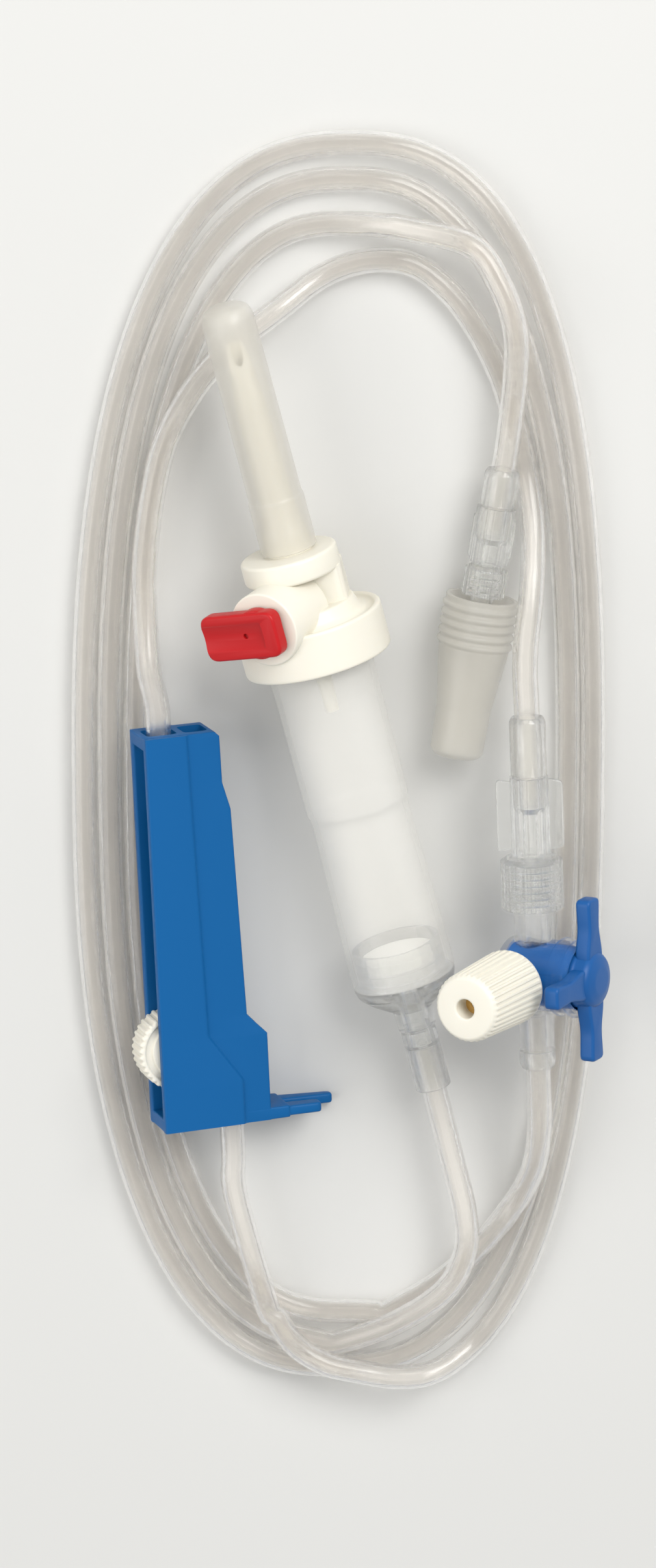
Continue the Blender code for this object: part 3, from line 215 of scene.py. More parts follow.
def oval(s):
    """Outer strand at clockwise lap angles s in degrees, and the width of the bundle there.

    With c and q the cosine and sine of -s: x = a sgn(c) |c|^(2/p) + bow q^2, y = b sgn(q) |q|^(2/p), and the
    width is side (1 - q^4) + end q^4.
    """
    t = -np.radians(s)
    c, q = np.cos(t), np.sin(t)
    x = COIL_MIDDLE[0] + COIL_HALF[0] * np.sign(c) * np.abs(c) ** (2 / COIL_POWER) + COIL_BOW * q * q
    y = COIL_MIDDLE[1] + COIL_HALF[1] * np.sign(q) * np.abs(q) ** (2 / COIL_POWER)
    side = np.where(c > 0, BUNDLE["right"], BUNDLE["left"])
    end = np.where(q > 0, BUNDLE["top"], BUNDLE["foot"])
    width = side * (1 - q**4) + end * q**4
    return np.column_stack([x, y]), width


lap, _ = oval(np.arange(0, 360, 3.0))
print("coil", np.round(np.ptp(lap, axis=0), 1), "mm over its outer strand")

# %% [markdown]
# A strand wanders across the bundle as it goes round, and climbs where it crosses another. A few keys say
# how far out it lies (1 is outermost, 0 innermost) and how high, at some angles of its lap. A plain spline
# through the keys would swing past them and push strands into each other. So each slope is the harmonic
# mean of its two sides, which never swings past a key.

# %% Strands


def smooth(values, keys, knots):
    """Cubic Hermite curve through the knots.

    The slope at a knot is 2 r1 r2 / (r1 + r2) for the rates before and after it, and 0 at an end or a turn.
    """
    knots, keys = np.asarray(knots, float), np.asarray(keys, float)
    rate = np.diff(knots) / np.diff(keys)
    before, after = rate[:-1], rate[1:]
    same = before * after > 0
    middle = np.where(same, 2 * before * after / np.where(same, before + after, 1.0), 0.0)
    slopes = np.concatenate([[0.0], middle, [0.0]])
    spot = np.clip(np.searchsorted(keys, values) - 1, 0, len(keys) - 2)
    h = keys[spot + 1] - keys[spot]
    t = (values - keys[spot]) / h
    a, b = knots[spot], knots[spot + 1]
    return (a * (2 * t**3 - 3 * t**2 + 1) + b * (3 * t**2 - 2 * t**3)
            + h * slopes[spot] * (t**3 - 2 * t**2 + t) + h * slopes[spot + 1] * (t**3 - t**2))


def strand(start, stop, out_keys, height_keys, step=3.0):
    """P(s) = O(s) + (1 - f(s)) w(s) n(s), with the height z(s).

    O is the oval, w the bundle's width, n the inward normal, and f and z go smoothly through their keys.
    """
    s = np.arange(start, stop + 0.1, step)
    place, width = oval(s)
    near, _ = oval(s - 0.5)
    far, _ = oval(s + 0.5)
    along = (far - near) / np.linalg.norm(far - near, axis=1)[:, None]
    inward = np.column_stack([along[:, 1], -along[:, 0]])
    f = smooth(s, *zip(*out_keys))
    z = smooth(s, *zip(*height_keys))
    flat = place + inward * ((1 - f) * width)[:, None]
    return np.column_stack([flat, z])


FLAT, OVER = 2.1, 6.8
MAIN_OUT = [(92, .38), (130, .45), (180, .5), (230, .55), (270, .55), (306, .3), (330, .07), (360, .05),
            (400, .3), (450, .67), (500, .9), (540, 1), (630, 1), (720, 1), (780, 1), (800, .8), (822, .4),
            (838, .05)]
MAIN_HEIGHT = [(92, 3.2), (99, FLAT), (180, FLAT), (782, FLAT), (797, OVER), (838, OVER)]
EXTENSION_OUT = [(80, .02), (92, 0), (180, 0), (270, 0), (285, .0)]
EXTENSION_HEIGHT = [(80, 2.3), (90, FLAT), (262, FLAT), (285, 5.6)]
main_coil = strand(92, 838, MAIN_OUT, MAIN_HEIGHT)
extension_coil = strand(80, 285, EXTENSION_OUT, EXTENSION_HEIGHT)
print("main strand", len(main_coil), "points, extension strand", len(extension_coil))

# %% [markdown]
# An end of tube leaves its socket straight, sinks to the table and joins the coil. Nothing repeats there,
# so its points are placed one by one. A Bezier curve would need handles as well. A Catmull-Rom curve runs
# through every point, so what is placed is what is seen, and it is cut into even steps, so that the rings
# of the tube stand evenly.

# %% Even routes


def even_route(points, spacing=1.5):
    """Catmull-Rom curve through the points, cut into even steps, with its length.

    Between b and c it is (2b + (c - a) t + (2a - 5b + 4c - d) t^2 + (3b - a - 3c + d) t^3) / 2.
    """
    knots = np.array(points, float)
    padded = np.vstack([2 * knots[0] - knots[1], knots, 2 * knots[-1] - knots[-2]])
    t = np.linspace(0, 1, 16, endpoint=False)[:, None, None]
    a, b, c, d = padded[:-3], padded[1:-2], padded[2:-1], padded[3:]
    square, cube = 2 * a - 5 * b + 4 * c - d, 3 * b - a - 3 * c + d
    spans = 0.5 * (2 * b + (c - a) * t + square * t**2 + cube * t**3)
    curve = np.vstack([spans.transpose(1, 0, 2).reshape(-1, 3), knots[-1:]])
    run = np.concatenate([[0], np.cumsum(np.linalg.norm(np.diff(curve, axis=0), axis=1))])
    even = np.linspace(0, run[-1], max(8, int(run[-1] / spacing)))
    return np.column_stack([np.interp(even, run, curve[:, k]) for k in range(3)]), run[-1]


def in_clamp(*places):
    """World millimetres of (x, y) places on the middle plane of the clamp."""
    return [tuple(CLAMP @ (Vector((x, y, 0)) * MM) / MM) for x, y in places]


MAIN_START = [(9.20, -57.26, 7.73), (11.72, -67.02, 7.3), (14.2, -77.0, 7.4), (16.2, -85.5, 8.0),
              (16.3, -92.6, 8.0), (12.8, -99.6, 7.2), (4.4, -105.8, 5.4)]
MAIN_END = in_clamp((12.55, -13.5), (12.55, -6.5), (12.55, 0.9))
main_route, main_run = even_route(MAIN_START + [tuple(p) for p in main_coil] + MAIN_END)
print(f"main line {main_run:.0f} mm")

# %% [markdown]
# Two more lengths lie in the same heap. The line rises from the clamp's top, turns inside the coil's upper
# end and comes down to the stopcock's connector. The extension leaves the stopcock's far side, goes round
# the foot and the left side as the coil's innermost strand, and comes down from the top to the patient
# connector. Only the extension shares the coil's oval, so the line is all placed points.

# %% The line and the extension
LINE = in_clamp((3.55, 65.2), (3.6, 70.0)) + [
    (-35.2, 6.0, 10.0), (-35.7, 12.0, 8.4), (-35.9, 18.0, 7.3), (-35.9, 22.6, 6.9), (-34.8, 32.6, 6.9),
    (-32.5, 42.6, 6.9), (-28.0, 51.2, 6.9), (-21.8, 58.4, 6.8), (-14.4, 64.0, 5.2), (-7.4, 69.0, 2.6),
    (-0.6, 71.4, 2.1), (7.0, 71.0, 2.1), (13.0, 66.6, 2.1), (17.6, 60.4, 2.1), (21.4, 52.8, 2.1),
    (23.9, 44.6, 2.1), (25.7, 36.4, 2.5), (26.7, 28.2, 5.6), (26.4, 19.8, 9.9), (25.31, 8.8, 12.4),
    (25.7, -1.2, 12.4), (26.24, -15.4, 12.4)]
EXTENSION_START = [(27.6, -50.56, 12.4), (28.0, -60.0, 12.4), (28.3, -69.4, 11.6), (27.7, -76.4, 9.4),
                   (26.0, -81.8, 7.0), (23.2, -86.6, 5.6), (19.4, -92.0, 3.8), (12.6, -99.0, 2.7)]
EXTENSION_END = [(16.4, 74.6, 7.2), (21.0, 68.6, 8.2), (23.4, 61.6, 8.6), (23.6, 53.6, 7.4),
                 (22.45, 42.33, 6.2), (21.83, 38.38, 6.2), (20.17, 27.91, 6.2)]
line_route, line_run = even_route(LINE)
extension_points = EXTENSION_START + [tuple(p) for p in extension_coil] + EXTENSION_END
extension_route, extension_run = even_route(extension_points)
print(f"line {line_run:.0f} mm, extension {extension_run:.0f} mm")

# %% [markdown]
# In the clamp the roller presses the tube flat on the ramp behind it as it travels up. One piece of tube
# could only be flattened from end to end, and would come away from the tube outside at both ends. So this
# stretch is three pieces, and the middle one, in the roller's path, has a mesh of its own, but it is drawn
# round like the others.

# %% The tube in the clamp
ABOVE_ROLLER = in_clamp((3.55, 65.0), (3.8, 62.4), (4.5, 59.9))
PINCHED = in_clamp((4.65, 59.6), (7.5, 53.8), (8.6, 50.0), (9.55, 42.0), (10.2, 36.4))
BELOW_ROLLER = in_clamp((10.25, 36.1), (11.3, 26.0), (12.1, 18.0), (12.6, 12.0), (12.55, 3.0), (12.55, 1.1))
inside_routes = [even_route(points) for points in (ABOVE_ROLLER, PINCHED, BELOW_ROLLER)]
inside_run = sum(run for _, run in inside_routes)
print(f"inside the clamp {inside_run:.0f} mm")

# %% [markdown]
# Tubes can rest on each other but not pass through each other. That could be judged by eye, but a number is
# surer: where two centrelines come much nearer than the tube's 4.1 mm, the tubes cut. Steps near each other
# on the same line don't count.

# %% How close the tubes lie
NEAR_STEPS = 8
for title, one, other in (("main", main_route, main_route), ("main to line", main_route, line_route),
                          ("main to extension", main_route, extension_route),
                          ("line to extension", line_route, extension_route)):
    apart = np.linalg.norm(one[:, None] - other[None], axis=2)
    if one is other:
        i, j = np.indices(apart.shape)
        apart[np.abs(i - j) < NEAR_STEPS] = np.inf
    at = np.unravel_index(apart.argmin(), apart.shape)
    print(f"{title} centrelines come within {apart.min():.2f} mm at {np.round(one[at[0]], 1)}")

# %% [markdown]
# The tube is drawn vinyl, 4.1 mm outside on a 3.0 mm bore. A curve with a bevel depth would be quicker, but
# it has no bore, so it renders as a solid rod, and a clear rod bends what lies behind it as no tube does.
# So a ring is carried along the centreline for the outside and back again for the bore, and the outside,
# the bore and both ends close into one surface.

# %% Tube surfaces
TUBE_OD = 4.1 * MM
BORE = 3.0 * MM
SHARP = 38


def loop_faces(rows, columns, closed=False):
    """Quads of a grid of rows whose columns close on themselves; closed joins the last row to the first."""
    i = np.arange(rows if closed else rows - 1)[:, None]
    j = np.arange(columns)[None]
    after, right = (i + 1) % rows, (j + 1) % columns
    corners = [i * columns + j, i * columns + right, after * columns + right, after * columns + j]
    return np.stack(corners, axis=-1).reshape(-1, 4).tolist()


def hollow_tube(name, route, sides=20):
    """P(i, a) = C(i) + r (N(i) cos a + B(i) sin a), with r the outside radius going and the bore's back."""
    centre = route * MM
    along = np.gradient(centre, axis=0)
    along /= np.linalg.norm(along, axis=1)[:, None]
    up = np.tile([0.0, 0.0, 1.0], (len(centre), 1))
    side = np.cross(along, up)
    side /= np.linalg.norm(side, axis=1)[:, None]
    up = np.cross(side, along)
    a = np.linspace(0, math.tau, sides, endpoint=False)
    ring = side[:, None] * np.cos(a)[None, :, None] + up[:, None] * np.sin(a)[None, :, None]
    outside = centre[:, None] + ring * TUBE_OD / 2
    inside = centre[::-1, None] + ring[::-1] * BORE / 2
    mesh = bpy.data.meshes.new(name)
    mesh.from_pydata(np.concatenate([outside, inside]).reshape(-1, 3).tolist(), [],
                     loop_faces(2 * len(centre), sides, closed=True))
    mesh.materials.append(TUBE)
    mesh.polygons.foreach_set("use_smooth", np.ones(len(mesh.polygons), bool))
    mesh.set_sharp_from_angle(angle=math.radians(SHARP))
    tube = bpy.data.objects.new(name, mesh)
    bpy.context.scene.collection.objects.link(tube)
    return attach(tube, "set")


print(f"tube wall {(TUBE_OD - BORE) / 2 / MM:.2f} mm")

# %% [markdown]
# A simulation could drop it on the table, but it wouldn't fall into the coil that the picture shows, so the
# route is given too. The short pieces inside the clamp ride with the fixed set.

# %% Lay the tubes
main_cord = hollow_tube("main_cord", main_route)
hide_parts("chamber_tail", "tube_coil", "clamp_tail")
line_cord = hollow_tube("line_cord", line_route)
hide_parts("line_tail")
extension_cord = hollow_tube("extension_cord", extension_route)
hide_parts("extension_head", "extension_tail")
INSIDE_NAMES = ("tube_above_roller", "pinched_tube", "tube_below_roller")
inside_tubes = [hollow_tube(name, route) for name, (route, _) in zip(INSIDE_NAMES, inside_routes)]
for tube in inside_tubes:
    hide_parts("clamp_tube")
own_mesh(inside_tubes[1])
print("tubes laid", [o.name for o in [main_cord, line_cord, extension_cord] + inside_tubes])

# %% [markdown]
# Most pieces of the set are round: they were moulded in turned tools. Blender's Screw or Spin would turn an
# outline too, but ribs and threads would have to be cut afterwards. Here the whole surface is one numpy
# grid of rings, so a rib is only a ripple of the radius. No moulded edge is sharp, so the outline's corners
# are eased first.

# %% Turned surfaces


def eased(profile, radius=0.25, steps=3):
    """Each corner K becomes the curve (1 - t)^2 A + 2t (1 - t) K + t^2 B, with A and B radius away from K.

    Points on the axis stay as they are.
    """
    points = np.array(profile, float)
    result = []
    for before, here, after in zip(np.roll(points, 1, axis=0), points, np.roll(points, -1, axis=0)):
        if here[0] < 1e-6:
            result.append(here)
            continue
        inward, outward = before - here, after - here
        cut_in = min(radius, 0.45 * np.linalg.norm(inward))
        cut_out = min(radius, 0.45 * np.linalg.norm(outward))
        a = here + inward / np.linalg.norm(inward) * cut_in
        b = here + outward / np.linalg.norm(outward) * cut_out
        for t in np.linspace(0, 1, steps):
            result.append((1 - t) ** 2 * a + 2 * t * (1 - t) * here + t * t * b)
    return np.array(result)


def turned_mesh(profile, sides=96, ripple=None):
    """P(k, a) = ((r_k + ripple(a, r_k, z_k)) cos a, (...) sin a, z_k), a closed profile in millimetres."""
    rings = np.asarray(profile, float)
    a = np.linspace(0, math.tau, sides, endpoint=False)
    r = np.repeat(rings[:, :1], sides, axis=1)
    z = np.repeat(rings[:, 1:], sides, axis=1)
    if ripple is not None:
        r = r + np.where(r > 0, ripple(a[None], r, z), 0.0)
    vertices = np.stack([r * np.cos(a), r * np.sin(a), z], axis=-1).reshape(-1, 3) * MM
    return vertices, loop_faces(len(rings), sides, closed=True)


def square_wave(a, count, share=0.5, soft=8.0):
    """1 / (1 + exp(-2 soft (phase - share))): 0 on the land and 1 in the groove, count times round."""
    phase = np.abs((a * count / math.tau) % 1.0 - 0.5) * 2
    return 1 / (1 + np.exp(-(phase - share) * soft * 2))


def drum(radius, low, high, sides=64, ease=0.25):
    """Solid cylinder from low to high with eased rims."""
    return turned_mesh(eased([(0, low), (radius, low), (radius, high), (0, high)], ease), sides)


print("a drum has", len(drum(5.0, 0.0, 1.0)[1]), "faces")

# %% [markdown]
# Flat pieces, such as a wing, a flange or the tap's arms, are plates with rounded edges. A Bevel modifier
# could round them, but it fails on short edges. A plate is worked out instead: its outline draws in towards
# each face, by a quarter of a circle.

# %% Plates


def slab(outline, low, high, ease=0.3, steps=4):
    """The outline, inset by ease (1 - sin u) at ease (1 - cos u) from each face, u from 0 to pi / 2."""
    points = np.array(outline, float)
    count = len(points)
    edge = np.roll(points, -1, axis=0) - np.roll(points, 1, axis=0)
    edge /= np.linalg.norm(edge, axis=1)[:, None]
    x, y = points.T
    area = 0.5 * np.sum(x * np.roll(y, -1) - y * np.roll(x, -1))
    inward = np.column_stack([-edge[:, 1], edge[:, 0]]) * (1 if area > 0 else -1)
    u = np.linspace(0, math.pi / 2, steps)
    levels = [(ease * (1 - math.sin(v)), low + ease * (1 - math.cos(v))) for v in u]
    levels += [(ease * (1 - math.cos(v)), high - ease * (1 - math.sin(v))) for v in u]
    rings = [np.column_stack([points + inward * inset, np.full(count, z)]) for inset, z in levels]
    faces = loop_faces(len(levels), count)
    faces += [list(range(count))[::-1], [(len(levels) - 1) * count + k for k in range(count)]]
    return np.concatenate(rings) * MM, faces


FAR = 500


def rounded(corners, radius=1.0, steps=6):
    """An outline with its corners eased, far off the axis and back, because eased leaves the axis alone."""
    return eased([(x + FAR, y) for x, y in corners], radius, steps) - np.array([FAR, 0])


print("a rounded square has", len(rounded([(0, 0), (9, 0), (9, 9), (0, 9)])), "points")

# %% [markdown]
# A moulding such as the stopcock is several round and flat forms that run into each other. Joining them
# point by point would take long, so they are made as closed solids, and an exact Boolean joins or cuts
# them. It needs clean solids, with the points on the axis merged and all faces turned outwards.

# %% Solids and finishes


def clean(mesh):
    """Merges the points that meet on the axis and turns every face out."""
    shape = bmesh.new()
    shape.from_mesh(mesh)
    bmesh.ops.remove_doubles(shape, verts=shape.verts, dist=1e-7)
    bmesh.ops.dissolve_degenerate(shape, dist=1e-8, edges=shape.edges)
    bmesh.ops.recalc_face_normals(shape, faces=shape.faces)
    shape.to_mesh(mesh)
    shape.free()
    mesh.update()


def solid(name, vertices, faces, matrix=Matrix.Identity(4)):
    """A loose solid, placed by a matrix that goes into its points."""
    mesh = bpy.data.meshes.new(name)
    mesh.from_pydata(np.asarray(vertices).tolist(), [], faces)
    mesh.transform(matrix)
    clean(mesh)
    thing = bpy.data.objects.new(name, mesh)
    bpy.context.scene.collection.objects.link(thing)
    return thing


def combine(base, tools, kind):
    """Joins (UNION) or cuts (DIFFERENCE) a solid by others, which are used up."""
    for tool in tools:
        step = base.modifiers.new(kind, "BOOLEAN")
        step.operation = kind
        step.solver = "EXACT"
        step.object = tool
    graph = bpy.context.evaluated_depsgraph_get()
    graph.update()
    base.data = bpy.data.meshes.new_from_object(base.evaluated_get(graph))
    base.modifiers.clear()
    for tool in tools:
        bpy.data.objects.remove(tool)
    return base


def laid(thing, matrix):
    """Cleans a combined solid and lays it where it belongs."""
    clean(thing.data)
    thing.data.transform(matrix)
    return thing


def finished(thing, material, body, *nodes):
    """Smooth shading, a finish, a body, and the CAD nodes that the piece stands for."""
    thing.data.materials.clear()
    thing.data.materials.append(material)
    thing.data.polygons.foreach_set("use_smooth", np.ones(len(thing.data.polygons), bool))
    thing.data.set_sharp_from_angle(angle=math.radians(SHARP))
    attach(thing, body)
    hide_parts(*nodes)
    print(thing.name, len(thing.data.polygons), "faces")
    return thing


def tinted(thing, matrix, material, chosen):
    """A second finish on the faces whose centres, in millimetres of a frame, pass a test."""
    thing.data.materials.append(material)
    back = matrix.inverted()
    for face in thing.data.polygons:
        if chosen(back @ face.center / MM):
            face.material_index = 1


def turned_piece(name, matrix, profile, material, body, node, sides=96, ripple=None, ease=0.25, steps=3):
    """A turned surface of an eased profile, laid and finished."""
    vertices, faces = turned_mesh(eased(profile, ease, steps), sides, ripple)
    return finished(solid(name, vertices, faces, matrix), material, body, node)


print("edges sharper than", SHARP, "degrees stay crisp")

# %% [markdown]
# The sheath keeps the spike sterile: a thin milky tube with a closed round tip, slightly wider where it
# grips the spike's root. A tube with a Solidify modifier would do for an even wall, but this wall isn't
# even, so the outline goes up the outside and comes back down the inside. The inside is seen too, because
# light shines through.

# %% Spike sheath
sheath_outside = [(3.9, 18.8), (4.55, 18.8), (4.55, 27.4), (4.35, 27.8), (4.2, 57.6), (3.7, 59.1),
                  (2.3, 59.9), (0, 60.1)]
sheath_inside = [(0, 59.2), (2.1, 59.0), (3.0, 58.3), (3.45, 57.0), (3.8, 28.0)]
turned_piece("spike_sheath_skin", CHAMBER, sheath_outside + sheath_inside, MILKY, "spike_sheath", "spike_cap",
             ease=0.5, steps=5)

# %% [markdown]
# The drip chamber is squeezed by hand to fill it, so it is a soft shell, with a small step and a slight
# waist near its middle. It could be a plain cylinder, but its soft outline shows in the light along its
# side. The same outline, less the wall, gives its inside.

# %% Drip chamber
CHAMBER_WALL = 0.85
chamber_outside = [(8.6, 3.1), (8.6, -1.5), (8.45, -6), (8.4, -25.0), (8.15, -25.6), (8.0, -26.4), (8.0, -28),
                   (8.12, -34), (8.45, -50), (8.55, -52.5), (8.5, -55.5)]
chamber_inside = [(r - CHAMBER_WALL, z) for r, z in reversed(chamber_outside)]
turned_piece("soft_chamber", CHAMBER, chamber_outside + chamber_inside, VINYL, "set", "drip_chamber",
             ease=0.35)

# %% [markdown]
# The clear foot closes the chamber, holds the fluid filter on a ledge and narrows to an outlet. A short
# socket, glued to the outlet, takes the tube. Plain solid pieces would be quicker, but both are bored here,
# because the clear plastic shows it.

# %% Chamber foot and tube socket
foot_outside = [(8.5, -55.8), (8.1, -57.1), (6.6, -58.6), (4.85, -59.9), (3.4, -60.9), (3.25, -61.6),
                (3.1, -64.5)]
foot_inside = [(1.44, -64.5), (1.44, -57.5), (6.1, -55.1), (6.1, -53.3), (6.5, -53.3), (6.5, -49.5),
               (7.3, -49.5), (7.3, -55.8)]
turned_piece("chamber_foot_piece", CHAMBER, foot_outside + foot_inside, CLEAR, "set", "chamber_foot")
socket_profile = [(2.78, -64.8), (2.9, -65.0), (2.95, -75.2), (2.35, -75.2), (2.35, -67.8), (1.55, -67.4),
                  (1.55, -64.8)]
turned_piece("chamber_socket_piece", CHAMBER, socket_profile, CLEAR, "set", "chamber_socket", ease=0.15)

# %% [markdown]
# A male connector has a ribbed stem for the fingers, two flat wings to turn it by, and a slightly tapered
# cone that seats in the mating piece. The ribs could be ten small bars joined on. Here they are a ripple of
# the stem's radius, and only the wings are plates joined to it.

# %% Connectors
ON_END = Matrix(((1, 0, 0, 0), (0, 0, 1, 0), (0, 1, 0, 0), (0, 0, 0, 1)))
STEM_RIBS = 10
WING_HALF = 0.55


def stem_ribs(a, r, z):
    """Ripple: 0.32 mm lands on the stem, and none on the cone."""
    return np.where(r > 2.8, 0.32 * (1 - square_wave(a, STEM_RIBS, 0.45)), 0.0)


def connector(name, matrix, node, shoulder, stem, wing_length, wing_reach, cone):
    """Stem from the shoulder up, cone from the shoulder down, and wings that reach out to each side."""
    profile = [(1.2, shoulder - cone), (1.7, shoulder - cone), (1.95, shoulder), (2.95, shoulder),
               (2.95, shoulder + stem), (2.35, shoulder + stem), (2.35, shoulder + stem - 5),
               (1.2, shoulder + stem - 6)]
    body = solid(name, *turned_mesh(eased(profile, 0.18), 96, stem_ribs))
    wings = []
    for side in (-1, 1):
        x0, x1 = sorted((side * 2.5, side * wing_reach))
        z0, z1 = shoulder + 0.6, shoulder + 0.6 + wing_length
        outline = rounded([(x0, z0), (x1, z0 + 0.5), (x1, z1 - 0.5), (x0, z1)], 0.8)
        wings.append(solid("wing", *slab(outline, -WING_HALF, WING_HALF, 0.25), ON_END))
    combine(body, wings, "UNION")
    return finished(laid(body, matrix), CLEAR, "set", node)


print("ribs on a stem", STEM_RIBS)

# %% [markdown]
# A lock nut turns freely round the cone. It has grips outside and a screw thread inside, which draws the
# connector on. A true thread is a helix, but behind clear plastic a few plain rings read as the same
# thread, and they close without a seam. A sleeve is a plain collar over the joint of tube and stem.

# %% Lock nuts and sleeves
NUT_GRIPS = 24
THREAD_PITCH = 1.1
THREAD_HEIGHT = 0.28


def lock_nut(name, matrix, node, low, radius, length, hole):
    """Collar with an inner flange at the tube's end, rings of thread inside, and a grip ripple outside."""
    high = low + length
    inner = radius - 0.8
    crest = inner - THREAD_HEIGHT
    profile = [(inner, low), (radius, low), (radius, high - 0.6), (radius - 0.9, high), (hole, high),
               (hole, high - 0.9), (inner, high - 0.9)]
    for z in np.arange(high - 1.8, low + 0.8, -THREAD_PITCH):
        profile += [(inner, z), (crest, z - 0.25), (crest, z - 0.45), (inner, z - 0.7)]

    def grips(a, r, z):
        """Ripple: grooves 0.25 mm deep on the outside alone."""
        return np.where(r > radius - 0.06, -0.25 * square_wave(a, NUT_GRIPS), 0.0)

    return turned_piece(name, matrix, profile, CLEAR, "set", node, sides=144, ripple=grips, ease=0.12)


def sleeve(name, matrix, node, low, length, radius):
    """Plain tube over the joint of tube and stem, with a chamfered end."""
    high = low + length
    profile = [(2.35, low), (radius, low), (radius, high - 0.8), (radius - 0.4, high), (2.35, high)]
    return turned_piece(name, matrix, profile, CLEAR, "set", node, ease=0.12)


print("thread of", THREAD_PITCH, "mm pitch")

# %% [markdown]
# The line and the extension each end in a connector, its nut and its sleeve, all three on one axis. Each
# end could be drawn by itself, but they differ only in their sizes, so the same functions make both. The
# extension starts in a socket on the stopcock, which is a short sleeve on the port opposite the line's.

# %% The two ends of the tubes
connector("line_connector_piece", LINE_END, "line_connector", shoulder=1.6, stem=12.9, wing_length=12.0,
          wing_reach=5.4, cone=7.2)
lock_nut("line_lock_nut_piece", LINE_END, "line_lock_nut", low=-7.2, radius=5.1, length=8.4, hole=2.2)
sleeve("line_sleeve_piece", LINE_END, "line_sleeve", low=14.8, length=9.6, radius=2.95)
connector("patient_connector_piece", PATIENT_END, "patient_connector", shoulder=32.1, stem=9.2,
          wing_length=7.4, wing_reach=3.5, cone=14.0)
lock_nut("patient_lock_nut_piece", PATIENT_END, "patient_lock_nut", low=26.8, radius=3.5, length=5.0,
         hole=2.3)
sleeve("patient_sleeve_piece", PATIENT_END, "patient_sleeve", low=41.6, length=6.0, radius=2.9)
OUT_PORT = STOPCOCK @ Matrix(((1, 0, 0, 0), (0, 0, -1, 0), (0, 1, 0, 0), (0, 0, 0, 1)))
sleeve("extension_socket_piece", OUT_PORT, "extension_socket", low=12.8, length=3.0, radius=2.95)

# %% [markdown]
# The end cap keeps the patient's end sterile. It is a milky shell with five rings near its mouth, where it
# is gripped. Each ring could be a torus joined on, but here the rings are part of the outline, made by a
# loop, so that their pitch is one number.

# %% End cap
RINGS, RING_PITCH = 5, 1.5
cap_outline = [(0, 0), (3.6, 0), (4.3, 0.8), (4.4, 6), (4.45, 8), (5.75, 18.0)]
for number in range(RINGS):
    z = 18.4 + RING_PITCH * number
    cap_outline += [(5.75, z), (6.2, z + 0.35), (6.2, z + 0.8), (5.75, z + 1.15)]
cap_outline += [(5.9, 26.5), (5.0, 26.5), (4.9, 18.0), (3.4, 8), (3.4, 0.9), (0, 0.9)]
turned_piece("end_cap_skin", PATIENT_END, cap_outline, MILKY, "end_cap", "patient_cap")

# %% [markdown]
# The cap on the stopcock's side port lets air pass: the floor of the hole in its face is amber. Ribs cut as
# grooves would end sharply, but moulded ribs fade out, so they are a ripple that fades towards both rims.
# The amber is a second finish on the faces of the hole's floor, so that the cap stays one piece.

# %% Vented side cap
CAP_RIBS, CAP_RIB_DEPTH = 36, 0.36
side_profile = [(4.15, 8.4), (5.85, 8.4), (6.2, 9.2), (5.65, 22.9), (5.0, 23.8), (1.75, 23.8), (1.6, 23.6),
                (1.6, 20.4), (0.6, 20.4), (0.6, 10.2), (1.8, 10.2), (1.8, 14.5), (4.15, 14.5)]


def cap_ribs(a, r, z):
    """Ripple: grooves times a logistic fade at the mouth and at the face."""
    fade = 1 / (1 + np.exp(-(z - 9.3) * 6)) / (1 + np.exp((z - 22.9) * 6))
    return np.where(r > 4.9, -CAP_RIB_DEPTH * square_wave(a, CAP_RIBS) * fade, 0.0)


def on_vent_floor(place):
    """The floor of the hole in the cap's face."""
    return math.hypot(place.x, place.y) < 1.55 and 20.2 < place.z < 20.8


side_cap = turned_piece("side_cap_piece", STOPCOCK, side_profile, IVORY, "side_cap", "luer_cap", sides=216,
                        ripple=cap_ribs, ease=0.3, steps=4)
tinted(side_cap, STOPCOCK, AMBER, on_vent_floor)

# %% [markdown]
# The roller is pushed by the thumb, so its rim has fine teeth. It runs on two short trunnions in the
# grooves of the clamp's walls, and each face has a sunk ring. The trunnions could be pins joined on, but
# they are round about the same axis, so all of it is one turned outline.

# %% Roller
TEETH, TOOTH_DEPTH = 36, 0.28
ROLLER_REST = Vector((3.5, 13.2, 0)) * MM
roller_half = [(1.25, 3.5), (1.25, 2.65), (4.4, 2.65), (4.6, 2.2), (5.5, 2.2), (5.7, 2.65), (6.4, 2.65),
               (6.7, 2.25)]
roller_profile = [(0, -3.5)] + [(r, -z) for r, z in roller_half] + roller_half[::-1] + [(0, 3.5)]


def teeth(a, r, z):
    """Ripple: grooves on the rim alone."""
    return np.where(r > 6.2, -TOOTH_DEPTH * square_wave(a, TEETH), 0.0)


turned_piece("roller_wheel", CLAMP @ Matrix.Translation(ROLLER_REST), roller_profile, IVORY, "roller",
             "clamp_roller", sides=240, ripple=teeth, ease=0.15)

# %% [markdown]
# The spike housing is one ivory moulding: a cup over the chamber, a neck, a finger flange, the spike and
# the vent's boss. It could be sculpted as one, but each form is round or flat, so it is built up from them.
# The cup is turned, with a soft fillet up to the neck. The neck and the flange are plates across the axis.

